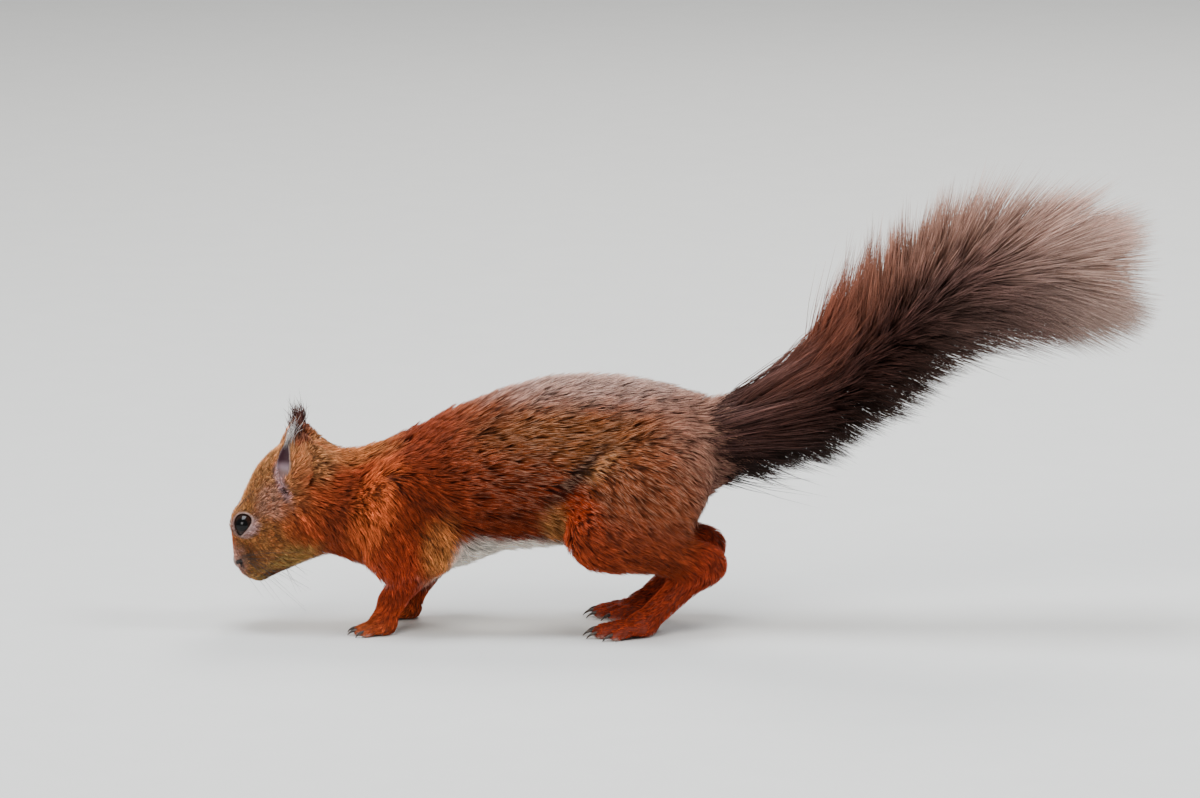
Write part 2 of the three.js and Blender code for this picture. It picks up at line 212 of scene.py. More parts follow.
class Form:
    """A rounded solid, told by the signed distance from its surface."""

    low: Array
    high: Array
    centre: Array

    def distance(self, x: Array, y: Array, z: Array) -> Array:
        """The signed distance at points whose coordinates broadcast together."""
        raise NotImplementedError

    def near(self, low: Array, high: Array, reach: float) -> bool:
        """Whether the form comes within reach of a box."""
        return bool(np.all(self.low - reach < high) and np.all(self.high + reach > low))

    def at(self, points: Array) -> Array:
        """The signed distance at an array of points."""
        chunks = [points[i : i + CHUNK] for i in range(0, len(points), CHUNK)]
        return np.concatenate([self.distance(*chunk.T) for chunk in chunks])

    def along(self, x: Array, y: Array, z: Array, *ways: Array) -> list[Array]:
        """How far points are from the form's centre along each way."""
        dx, dy, dz = x - self.centre[0], y - self.centre[1], z - self.centre[2]
        return [dx * way[0] + (dy * way[1] + dz * way[2]) for way in ways]

    def slope(self, points: Array, step: float = 0.06) -> tuple[Array, Array]:
        """The signed distance at points and its gradient there."""
        here = self.at(points)
        return here, np.stack([(self.at(points + step * way) - here) / step for way in np.eye(3)], 1)

    def settle(self, points: Array, rounds: int = 3, level: Array | float = 0.0) -> Array:
        """Points moved along the gradient to where the signed distance is level."""
        points = np.array(points, float)
        for _ in range(rounds):
            here, gradient = self.slope(points)
            steep = np.maximum((gradient**2).sum(1), 0.2)
            points = points - gradient * ((here - level) / steep)[:, None]
        return points


class Ball(Form):
    """An ellipsoid with radii to the side, back and up, pitched about X."""

    def __init__(self, centre: Point, radii: Sequence[float], pitch: float = 0.0,
                 inset: float = 0.0) -> None:
        """Takes the outer radii, and how far within them the surface lies."""
        self.centre = np.array(centre, float)
        self.radii = np.maximum(np.array(radii, float) - inset, 0.3)
        self.cos, self.sin = math.cos(pitch), math.sin(pitch)
        reach = np.array([self.radii[0], self.radii[1:].max(), self.radii[1:].max()])
        self.low, self.high = self.centre - reach, self.centre + reach

    def share(self, x: Array, y: Array, z: Array) -> tuple[Array, Array]:
        """How far out points are, as 1 at the surface, and how fast that grows."""
        dx, dy, dz = x - self.centre[0], y - self.centre[1], z - self.centre[2]
        return oval((dx, self.cos * dy + self.sin * dz, self.cos * dz - self.sin * dy), self.radii)

    def distance(self, x: Array, y: Array, z: Array) -> Array:
        """See Form."""
        return apart(*self.share(x, y, z), -self.radii.min())


class Limb(Form):
    """A tapering limb with round ends, made wide times as broad across X."""

    def __init__(self, start: Point, end: Point, radii: tuple[float, float], wide: float = 1.0,
                 insets: tuple[float, float] = (0.0, 0.0)) -> None:
        """Takes the two ends, the outer radius at each, and how far within each the surface lies."""
        self.start, self.end, self.wide = np.array(start, float), np.array(end, float), wide
        self.radii = tuple(max(r - i, 0.15) for r, i in zip(radii, insets))
        self.way = (self.end - self.start) / np.array([wide, 1, 1])
        reach = max(self.radii) * np.array([max(wide, 1), 1, 1])
        self.low = np.minimum(self.start, self.end) - reach
        self.high = np.maximum(self.start, self.end) + reach

    def distance(self, x: Array, y: Array, z: Array) -> Array:
        """See Form."""
        px, py, pz = (x - self.start[0]) / self.wide, y - self.start[1], z - self.start[2]
        ux, uy, uz = self.way
        t = np.clip((px * ux + (py * uy + pz * uz)) / (self.way @ self.way), 0, 1)
        off = np.sqrt((px - t * ux) ** 2 + (py - t * uy) ** 2 + (pz - t * uz) ** 2)
        return off - (self.radii[0] + t * (self.radii[1] - self.radii[0]))


class TrunkForm(Form):
    """The trunk and neck: an egg-shaped section, narrower above, swept along the stations."""

    ends = 8.0

    def __init__(self, depth: float) -> None:
        """Takes the share of the coat's depth that the surface lies within the outline."""
        self.y = np.array([s.y for s in TRUNK], float)
        self.top = np.array([s.top - depth * s.coat for s in TRUNK])
        self.under = np.array([s.under + depth * s.coat for s in TRUNK])
        self.half = np.array([s.half - depth * s.coat for s in TRUNK])
        wide = self.half.max() * (1 + TRUNK_TAPER)
        self.low = np.array([-wide, self.y[0] - self.ends, self.under.min()])
        self.high = np.array([wide, self.y[-1] + self.ends, self.top.max()])

    def between(self, values: Array, y: Array) -> Array:
        """Reads a smooth value between stations (Catmull-Rom).

        Args:
            values: The values at the stations.
            y: Places along the trunk.

        Returns:
            The values there.
        """
        last = len(self.y) - 1
        i = np.clip(np.searchsorted(self.y, y, side="left") - 1, 0, last - 1)
        before, after = np.maximum(i - 1, 0), np.minimum(i + 2, last)
        wide = self.y[i + 1] - self.y[i]
        t = np.clip((y - self.y[i]) / wide, 0, 1)
        m1 = wide * (values[i + 1] - values[before]) / (self.y[i + 1] - self.y[before])
        m2 = wide * (values[after] - values[i]) / (self.y[after] - self.y[i])
        return ((2 * t**3 - 3 * t**2 + 1) * values[i] + (t**3 - 2 * t**2 + t) * m1
                + (3 * t**2 - 2 * t**3) * values[i + 1] + (t**3 - t**2) * m2)

    def distance(self, x: Array, y: Array, z: Array) -> Array:
        """See Form."""
        inside = np.clip(y, self.y[0], self.y[-1])
        top, under = self.between(self.top, inside), self.between(self.under, inside)
        high, dz = (top - under) / 2, z - (top + under) / 2
        half = self.between(self.half, inside) * (1 - TRUNK_TAPER * np.clip(dz / high, -1, 1))
        d = apart(*oval((x, dz), (half, high)), -np.minimum(half, high))
        return np.where(y == inside, d, np.sqrt(np.maximum(d, 0) ** 2 + (y - inside) ** 2))


class Spoon(Form):
    """An ear's form: a slim egg with a point, drawn out from its root to its tip."""

    def __init__(self, ear: Ear, side: str, inset: float = 0.0) -> None:
        """Takes how far within the ear's outer form the surface lies."""
        root, tip = (np.array(on_side(p, side), float) for p in (ear.root, ear.tip))
        self.up = unit(tip - root)
        self.aside = unit(np.cross(on_side(ear.facing, side), self.up))
        self.front = np.cross(self.up, self.aside)
        self.long = np.linalg.norm(tip - root) / 2 - 0.8 * inset
        self.width, self.depth, self.taper = ear.width - inset, ear.depth - inset * 0.6, ear.taper
        self.centre = (root + tip) / 2
        self.low, self.high = self.centre - self.long - 2, self.centre + self.long + 2

    @classmethod
    def bowl(cls, ear: Ear, side: str, grown: float = 0.0) -> Spoon:
        """The ear's hollow, grown by a little."""
        made = cls(ear, side)
        across, along, ahead = ear.bowl_shift
        made.centre = made.centre + made.aside * (across * SIDES[side]) + made.up * along
        made.centre = made.centre + made.front * ahead
        made.width, made.long, made.depth = (radius + grown for radius in ear.bowl)
        return made

    def distance(self, x: Array, y: Array, z: Array) -> Array:
        """See Form."""
        across, along, front = self.along(x, y, z, self.aside, self.up, self.front)
        slim = 1 - self.taper * np.clip(along / self.long, -1, 1)
        radii = (self.depth * slim, self.width * slim, self.long)
        return apart(*oval((front, across, along), radii), -2.0)


class Slit(Form):
    """The almond between an eye's lids: an oval column that stands on the eye and runs outwards."""

    reach = 9.0

    def __init__(self, eye: EyePlace, side: str, grown: float = 0.0) -> None:
        """Takes how far the slit is widened."""
        self.centre = np.array(eye.centre(side), float)
        self.out = unit(np.array(on_side(eye.looks, side)))
        down = np.array(on_side(eye.corner, side))
        self.down = unit(down - self.out * (down @ self.out))
        self.across = np.cross(self.out, self.down)
        self.half, self.long = eye.slit[0] / 2 + grown, eye.slit[1] / 2 + grown
        self.taper, self.start = eye.taper, eye.radius * 0.2
        self.low, self.high = self.centre - self.reach, self.centre + self.reach

    def share(self, x: Array, y: Array, z: Array) -> tuple[Array, Array]:
        """How far out of the slit points are, as 1 at its edge, and how far outwards they are."""
        across, down, out = self.along(x, y, z, self.across, self.down, self.out)
        half = self.half * (1 - self.taper * np.clip(down / self.long, -1, 1))
        return oval((across, down), (half, self.long))[0], out

    def distance(self, x: Array, y: Array, z: Array) -> Array:
        """See Form."""
        k, out = self.share(x, y, z)
        return np.maximum((k - 1) * self.half, self.start - out)


class Join(Form):
    """Forms joined one after another, each with its own rounding in the crease."""

    def __init__(self, pieces: Iterable[tuple[Form, float]]) -> None:
        """Takes the forms and their roundings."""
        self.pieces = list(pieces)
        self.low = np.min([p.low for p, _ in self.pieces], 0)
        self.high = np.max([p.high for p, _ in self.pieces], 0)

    def felt(self, x: Array, y: Array, z: Array) -> Iterable[tuple[Array, float]]:
        """The distances of the forms within the points' reach, and their roundings."""
        low, high = (np.array([edge(v) for v in (x, y, z)]) for edge in (np.min, np.max))
        for piece, rounding in self.pieces:
            if piece.near(low, high, rounding + FELT):
                yield piece.distance(x, y, z), rounding

    def distance(self, x: Array, y: Array, z: Array) -> Array:
        """See Form."""
        total = None
        for d, rounding in self.felt(x, y, z):
            total = d if total is None else lesser(total, d, rounding)
        return np.full(np.broadcast(x, y, z).shape, FAR) if total is None else total


class Carve(Form):
    """A form with others cut out of it, each with its own rounding on the edge."""

    def __init__(self, whole: Form, cutters: Iterable[tuple[Form, float]]) -> None:
        """Takes the whole form, the cutters and their roundings."""
        self.whole, self.cutters = whole, Join(cutters)
        self.low, self.high = whole.low, whole.high

    def distance(self, x: Array, y: Array, z: Array) -> Array:
        """See Form."""
        total = self.whole.distance(x, y, z)
        for d, rounding in self.cutters.felt(x, y, z):
            total = -lesser(-total, d, rounding)
        return total


def cord(places: Iterable[Array], radii: tuple[float, float]) -> list[Limb]:
    """Limbs from place to place."""
    line = list(places)
    return [Limb(tuple(a), tuple(b), radii) for a, b in zip(line, line[1:])]


# ---------------------------------------------------------------- anatomy


@dataclass(frozen=True)
class EyePlace:
    """An eye in the head's frame, the way it looks, and the slit between its lids."""

    back: float = 15.8
    up: float = 8.4
    side: float = 8.7
    radius: float = 4.8
    looks: Point = (0.95, -0.24, 0.2)
    corner: Point = (0.1, -0.26, -1.0)
    slit: tuple[float, float] = (6.1, 8.6)
    taper: float = 0.42
    lid: float = 0.55

    def centre(self, side: str) -> Point:
        """The eyeball's centre."""
        return on_side(in_head(self.back, self.up, self.side), side)


@dataclass(frozen=True)
class Ear:
    """The left ear: a spoon that stands on the head and faces forwards and out, and its bowl.

    bowl gives the hollow's radii across, along and ahead, and bowl_shift how far it is moved from the ear's
    middle towards the head's middle, up and ahead.
    """

    root: Point = (12, -157.2, 56)
    tip: Point = (15.7, -153.8, 81)
    facing: Point = (0.62, -0.78, 0.1)
    width: float = 7.4
    depth: float = 5.0
    taper: float = 0.36
    bowl: Point = (4.1, 6.8, 3.8)
    bowl_shift: Point = (0.7, -0.6, 3.0)


@dataclass(frozen=True)
class Nose:
    """The bare pad of the nose, its size, and the left nostril's wing."""

    pad: Point = in_head(3.0, -1.8)
    size: Point = (2.5, 1.7, 2.3)
    wing: Point = in_head(3.3, -2.0, 1.9)


EYE = EyePlace()
EAR = Ear()
NOSE = Nose()


def digit_lines(leg: Leg, kind: Digits, side: str) -> list[tuple[Array, Array, Array]]:
    """Draws the digits of a paw.

    Args:
        leg: The leg that ends in the paw.
        kind: The paw's digits.
        side: Left or right.

    Returns:
        Each digit's root, its tip and the way that it points.
    """
    ball = leg.joints(side)[3]
    lines = []
    for i, (degrees, length) in enumerate(zip(kind.spread, kind.length)):
        turn = math.radians(degrees) * SIDES[side]
        aside = (i - (len(kind.spread) - 1) / 2) * kind.pitch * SIDES[side]
        root = np.array([ball[0] + aside, ball[1], ball[2] - 0.8])
        way = np.array([math.sin(turn), -math.cos(turn), 0.0])
        tip = root + way * length
        tip[2] = kind.radius * 0.8
        lines.append((root, tip, way))
    return lines


class Anatomy:
    """The body's forms, at a share of the coat's depth within the outline: 0 is the coat, and 1 the skin."""

    def __init__(self, depth: float) -> None:
        """Builds every part, then joins them."""
        self.depth = depth
        self.trunk = TrunkForm(depth)
        self.head = self.make_head()
        self.forelegs = {side: self.make_foreleg(side) for side in SIDES}
        self.hindlegs = {side: self.make_hindleg(side) for side in SIDES}
        self.tail = self.make_tail()
        legs = [(leg[side], 9) for side in SIDES for leg in (self.forelegs, self.hindlegs)]
        self.body = Join([(self.trunk, 4), (self.head, 9), *legs, (self.tail, 12)])
        self.whole = self.body if depth == 0 else self.with_skin_details()

    def ball(self, centre: Point, radii: Sequence[float], coat: float, pitch: float = 0.0) -> Ball:
        """An ellipsoid within its coat."""
        return Ball(centre, radii, pitch, coat * self.depth)

    def limb(self, start: Point, end: Point, radii: tuple[float, float], coat: tuple[float, float],
             wide: float = 1.0) -> Limb:
        """A limb within its coat."""
        return Limb(start, end, radii, wide, (coat[0] * self.depth, coat[1] * self.depth))

    def make_head(self) -> Join:
        """The skull with its muzzle, brow, cheeks and jaw."""
        signs = SIDES.values()
        return Join([
            (self.limb(in_head(6.2, -2.2), in_head(15.6, 2.7), (5.2, 10.2), (0.5, 0.9), 1.1), 4),
            (self.limb(in_head(7.4, -9), in_head(25, -8.6), (5.3, 10.4), (0.8, 1.6)), 5),
            *((self.ball(in_head(7.2, -5.6, 3.4 * s), (4.3, 5.4, 5), 0.6, HEAD_PITCH), 3) for s in signs),
            (self.ball(in_head(24, 6.2), (11, 10, 9.4), 1.2, HEAD_PITCH), 5),
            (self.ball(in_head(39, 6.8), (14.5, 18.4, 15.9), 2.0, HEAD_PITCH), 8),
            *((self.ball(in_head(23, -4.8, 7 * s), (8.6, 13, 11.4), 1.6, HEAD_PITCH), 6) for s in signs),
            *((self.ball(in_head(17.4, 8, 5.4 * s), (6, 6.8, 6.4), 0.8, HEAD_PITCH), 3) for s in signs),
            *((self.limb(on_side((11, -144, 65), side), on_side((13.2, -151.4, 76), side), (6.8, 3.2),
                         (2.8, 2.0)), 5) for side in SIDES),
        ])

    def make_foreleg(self, side: str) -> Join:
        """A foreleg with its fingers."""
        shoulder, elbow, wrist, ball = FORELEG.joints(side)
        breast = on_side(BREAST, side, FORELEG.stagger[side])
        return Join([
            (self.limb(shoulder, elbow, (15.5, 11.5), (3.2, 2.6), 0.8), 4),
            (self.limb(shoulder, breast, (14, 8.4), (3.2, 2.2), 0.8), 5),
            (self.limb(elbow, wrist, (10.4, 4.9), (2.6, 1.0), 0.9), 6),
            (self.limb(wrist, ball, (4.7, 4.4), (0.9, 0.8), 1.2), 3),
            (self.ball(ball, (6.8, 5.6, 4.9), 0.8), 3),
            *self.make_digits(FORELEG, FINGERS, side),
        ])

    def make_hindleg(self, side: str) -> Join:
        """A hind leg with its toes."""
        haunch, knee, hock, ball = HINDLEG.joints(side)
        return Join([
            (self.ball(haunch, (15.5, 33, 23.5), 4.2, math.radians(44)), 4),
            (self.limb(haunch, knee, (21, 11.8), (4, 3), 0.7), 8),
            (self.limb(knee, hock, (12.8, 7.2), (3, 1.8), 0.75), 8),
            (self.limb(hock, ball, (6.6, 4.7), (1.5, 0.9)), 6),
            (self.ball(ball, (7.8, 6.4, 5.3), 0.9), 3),
            *self.make_digits(HINDLEG, TOES, side),
        ])

    def make_digits(self, leg: Leg, kind: Digits, side: str) -> list[tuple[Form, float]]:
        """Makes the digits of a paw, with a knuckle and a pad on each.

        Args:
            leg: The leg that ends in the paw.
            kind: The paw's digits.
            side: Left or right.

        Returns:
            The forms and their roundings.
        """
        pieces: list[tuple[Form, float]] = []
        for root, tip, way in digit_lines(leg, kind, side):
            knuckle = root * 0.45 + tip * 0.55 + np.array([0, 0, kind.radius * 0.35])
            radii = (kind.radius * 1.05, kind.radius * 0.92)
            pieces.append((self.limb(tuple(root), tuple(knuckle), radii, (0.35, 0.35)), 1.6))
            pieces.append((self.limb(tuple(knuckle), tuple(tip), radii, (0.35, 0.3)), 0.8))
            pad = tip - way * 0.3 + np.array([0, 0, -0.5])
            radii = (kind.radius * 0.75, kind.radius, kind.radius * 0.6)
            pieces.append((self.ball(tuple(pad), radii, 0.0), 0.5))
        return pieces

    def make_tail(self) -> Join:
        """The tail's chain, from the brush's outline down to the tail within."""
        links = []
        for a, b in zip(TAIL, TAIL[1:]):
            coat = (a.brush - a.core, b.brush - b.core)
            links.append((self.limb((0, a.y, a.z), (0, b.y, b.z), (a.brush, b.brush), coat, TAIL_WIDTH), 4))
        return Join(links)

    def nostril(self, sign: int) -> list[Limb]:
        """The comma of a nostril, on the side given as 1 for the left."""
        turns = ((3.6, -1.6, 3.0), (5.2, -2.4, 4.0), (5.0, -4.2, 4.4))
        line = [in_head(back, up, aside * sign) for back, up, aside in turns]
        return cord(self.head.settle(np.array(line), level=0.1), (0.6, 0.45))

    def nostril_hole(self, side: str) -> Join:
        """The whole hole of a nostril."""
        return Join([(limb, 0.2) for limb in self.nostril(SIDES[side])])

    def with_skin_details(self) -> Form:
        """Adds the ears and lids to the body, and cuts the nose and mouth.

        Returns:
            The skin's form.
        """
        added: list[tuple[Form, float]] = [(self.body, 1)]
        cut: list[tuple[Form, float]] = []
        for side in SIDES:
            cup = Carve(Spoon(EAR, side, 0.4), [(Spoon.bowl(EAR, side), 0.6)])
            added += [(cup, 1.6), (Ball(EYE.centre(side), [EYE.radius + EYE.lid] * 3), 1.6)]
            cut.append((Slit(EYE, side), 0.45))
        added.append((Ball(NOSE.pad, NOSE.size, HEAD_PITCH), 0.9))
        for side, s in SIDES.items():
            added.append((Ball(on_side(NOSE.wing, side), (1.1, 1.8, 1.5), HEAD_PITCH), 0.8))
            cut += [(limb, 0.4) for limb in self.nostril(s)]
            lips = self.head.settle(np.array([in_head(1.8, -8.2, 0.1 * s), in_head(4.2, -9.6, 3.2 * s),
                                              in_head(9.5, -11, 5.4 * s)]))
            cut += [(limb, 0.6) for limb in cord(lips, (0.42, 0.34))]
        cleft = self.head.settle(np.array([in_head(1.4, -4.2), in_head(1.8, -8.2)]))
        cut += [(limb, 0.5) for limb in cord(cleft, (0.3, 0.3))]
        return Carve(Join(added), cut)


# ---------------------------------------------------------------- meshes


def linked(name: str, data: bpy.types.ID) -> bpy.types.Object:
    """A new object in the scene."""
    made = bpy.data.objects.new(name, data)
    bpy.context.scene.collection.objects.link(made)
    return made


@dataclass
class Shell:
    """A surface: its corners in millimetres, its faces of one size, and values held at the corners."""

    points: Array
    faces: Array
    values: dict[str, Array] = field(default_factory=dict)
    uv: Array | None = None

    def build(self, name: str, material: bpy.types.Material) -> bpy.types.Object:
        """Makes the Blender object, smooth shaded.

        Args:
            name: The piece's name.
            material: Its finish.

        Returns:
            The object, at the origin, in metres.
        """
        mesh = bpy.data.meshes.new(name)
        count, sides = self.faces.shape
        mesh.vertices.add(len(self.points))
        mesh.vertices.foreach_set("co", (self.points / METRE).astype(np.float32).ravel())
        mesh.loops.add(count * sides)
        mesh.loops.foreach_set("vertex_index", self.faces.astype(np.int32).ravel())
        mesh.polygons.add(count)
        mesh.polygons.foreach_set("loop_start", np.arange(0, count * sides, sides, dtype=np.int32))
        mesh.polygons.foreach_set("use_smooth", np.ones(count, bool))
        mesh.update(calc_edges=True)
        for key, value in self.values.items():
            wide = value.ndim == 2
            kind = "FLOAT_COLOR" if wide else "FLOAT"
            attribute = mesh.attributes.new(key, kind, "POINT")
            if wide:
                value = np.concatenate([value, np.ones((len(value), 1))], 1)
            attribute.data.foreach_set("color" if wide else "value", value.astype(np.float32).ravel())
        if self.uv is not None:
            layer = mesh.uv_layers.new(name="OFBake")
            layer.data.foreach_set("uv", self.uv[self.faces.ravel()].astype(np.float32).ravel())
        mesh.materials.append(material)
        return linked(name, mesh)


@dataclass(frozen=True)
class Zone:
    """A stretch of an axis with its own spacing of planes."""

    low: float
    high: float
    step: float


@dataclass(frozen=True)
class Lattice:
    """A grid whose planes stand closer where the form is finer."""

    x: tuple[Zone, ...]
    y: tuple[Zone, ...]
    z: tuple[Zone, ...]
    coarse: float
    growth: float = 0.11

    def planes(self, zones: tuple[Zone, ...], low: float, high: float) -> Array:
        """Planes from low to high, whose spacing grows with the distance from the zones."""
        places = [low]
        while places[-1] < high:
            p = places[-1]
            steps = [zone.step + self.growth * max(zone.low - p, p - zone.high, 0) for zone in zones]
            places.append(p + min(self.coarse, *steps))
        return np.array(places)

    def mesh(self, form: Form) -> Shell:
        """Meshes a form's surface by surface nets: one corner in each cell that it crosses.

        Args:
            form: The form to mesh.

        Returns:
            The surface, as quads that face out.
        """
        low, high = form.low - 3 * self.coarse, form.high + 3 * self.coarse
        axes = [self.planes(zones, low[m], high[m]) for m, zones in enumerate((self.x, self.y, self.z))]
        values = self.sample(form, axes)
        edges = [self.crossings(values, axes, m) for m in range(3)]
        owners = np.concatenate([e[0].ravel() for e in edges])
        cells, index = np.unique(owners, return_inverse=True)
        places = np.concatenate([np.repeat(e[1], 4, axis=0) for e in edges])
        count = np.bincount(index, minlength=len(cells))
        points = np.stack([np.bincount(index, places[:, m], len(cells)) / count for m in range(3)], 1)
        faces = index.reshape(-1, 4)
        flip = np.concatenate([e[2] for e in edges])
        faces[flip] = faces[flip][:, ::-1]
        return Shell(form.settle(points, 2), faces)

    @staticmethod
    def sample(form: Form, axes: list[Array], slab: int = 10) -> Array:
        """The form's signed distance at every crossing of planes, slab by slab."""
        x, y, z = axes
        values = np.empty((len(x), len(y), len(z)), np.float32)
        for j in range(0, len(y), slab):
            part = y[j : j + slab]
            values[:, j : j + slab] = form.distance(x[:, None, None], part[None, :, None], z[None, None, :])
        return values

    @staticmethod
    def crossings(values: Array, axes: list[Array], axis: int) -> tuple[Array, Array, Array]:
        """The grid's edges along an axis that the surface crosses.

        Args:
            values: The signed distances.
            axes: The planes of each axis.
            axis: The axis along which the edges run.

        Returns:
            The four cells round each edge, where it is crossed, and whether its face is turned.
        """
        ahead = np.moveaxis(values, axis, 0)
        first, second = ahead[:-1], ahead[1:]
        found = (first < 0) != (second < 0)
        at = np.array(np.nonzero(found))
        a, b = first[tuple(at)].astype(float), second[tuple(at)].astype(float)
        others = [m for m in range(3) if m != axis]
        index = np.empty((3, at.shape[1]), int)
        index[axis], index[others[0]], index[others[1]] = at
        place = np.stack([axes[m][index[m]] for m in range(3)], 1)
        wide = axes[axis][index[axis] + 1] - axes[axis][index[axis]]
        place[:, axis] += wide * a / (a - b)
        u, v = (axis + 1) % 3, (axis + 2) % 3
        stride = np.array([values.shape[1] * values.shape[2], values.shape[2], 1])
        here = stride @ index
        ring = np.stack([here, here - stride[u], here - stride[u] - stride[v], here - stride[v]], 1)
        return ring, place, a >= 0


class Detail(Enum):
    """How finely the piece is made: the skin's cells and the share of the coat's tufts."""

    FULL = (0.57, 1.3, 2.3, 0.91)
    TRIAL = (0.8, 1.3, 2.0, 0.5)

    @property
    def lattice(self) -> Lattice:
        """The grid for the skin: fine at the head, less so at the paws, coarse elsewhere."""
        head, paw, coarse, _ = self.value
        return Lattice(
            x=(Zone(-21, 21, head), Zone(-36, 36, paw)),
            y=(Zone(-183, -147, head), Zone(-136, -103, paw), Zone(-43, -12, paw)),
            z=(Zone(18, 84, head), Zone(-1, 14, paw)),
            coarse=coarse,
        )

    @property
    def share(self) -> float:
        """The share of the coat's tufts."""
        return self.value[3]


# ---------------------------------------------------------------- the coat's lie and markings


def paint(code: str) -> Array:
    """A colour's linear red, green and blue from its hexadecimal code."""
    plain = np.array([int(code[i : i + 2], 16) / 255 for i in (1, 3, 5)])
    return np.where(plain < 0.04045, plain / 12.92, ((plain + 0.055) / 1.055) ** 2.4)


class Tint(Enum):
    """The coat's named colours."""

    RUSSET = "#a04626"
    COPPER = "#bd5c30"
    RUST = "#742a10"
    CHESTNUT = "#80371f"
    BRICK = "#8a3119"
    EMBER = "#98361a"
    FLAME = "#ae390f"
    BROWN = "#8c492c"
    AGOUTI = "#865129"
    MAUVE = "#bd9e92"
    DUSK = "#956a5a"
    GOLD = "#b87f48"
    BUFF = "#c98447"
    CREAM = "#ddd5ca"
    UMBER = "#54302a"
    SOOT = "#2a1713"
    FACE = "#a06a3c"
    FAWN = "#b37e50"
    OLIVE = "#9a7b45"
    PINK = "#b8897a"
    LILAC = "#b39094"
    BLUSH = "#c39f9b"
    SILVER = "#e2dcda"

    @property
    def rgb(self) -> Array:
        """The colour's linear values."""
        return paint(self.value)


@dataclass(frozen=True)
class Lie:
    """How the coat lies round one part of the body.

    way is the lie's direction on the left side. length and width are a tuft's, in millimetres. density is
    tufts in a square millimetre, tint the ground colour, and shag how far the locks stand above and below one
    another.
    """

    name: str
    form: Form
    way: Point
    length: float
    width: float
    density: float
    tint: Tint
    shag: float = 0.3


@dataclass(frozen=True)
class Patch:
    """A marking, or a patch of painted shade: a soft ellipsoid of colour, given for the left side and laid on
    both.

    strength is how far it hides what lies under it, soft the share of the radius over which it fades, and
    fray how far its edge wanders.
    """

    name: str
    centre: Point
    radii: Point
    tint: Tint
    strength: float
    pitch: float = 0.0
    soft: float = 0.9
    fray: ClassVar[float] = 0.12

    def mask(self, points: Array, wobble: Array) -> Array:
        """How strongly the marking shows at each point."""
        ball = Ball(self.centre, self.radii, math.radians(self.pitch))
        k, _ = ball.share(np.abs(points[:, 0]), points[:, 1], points[:, 2])
        return self.strength * rise(k + wobble * self.fray, 1 + self.soft / 2, 1 - self.soft / 2)
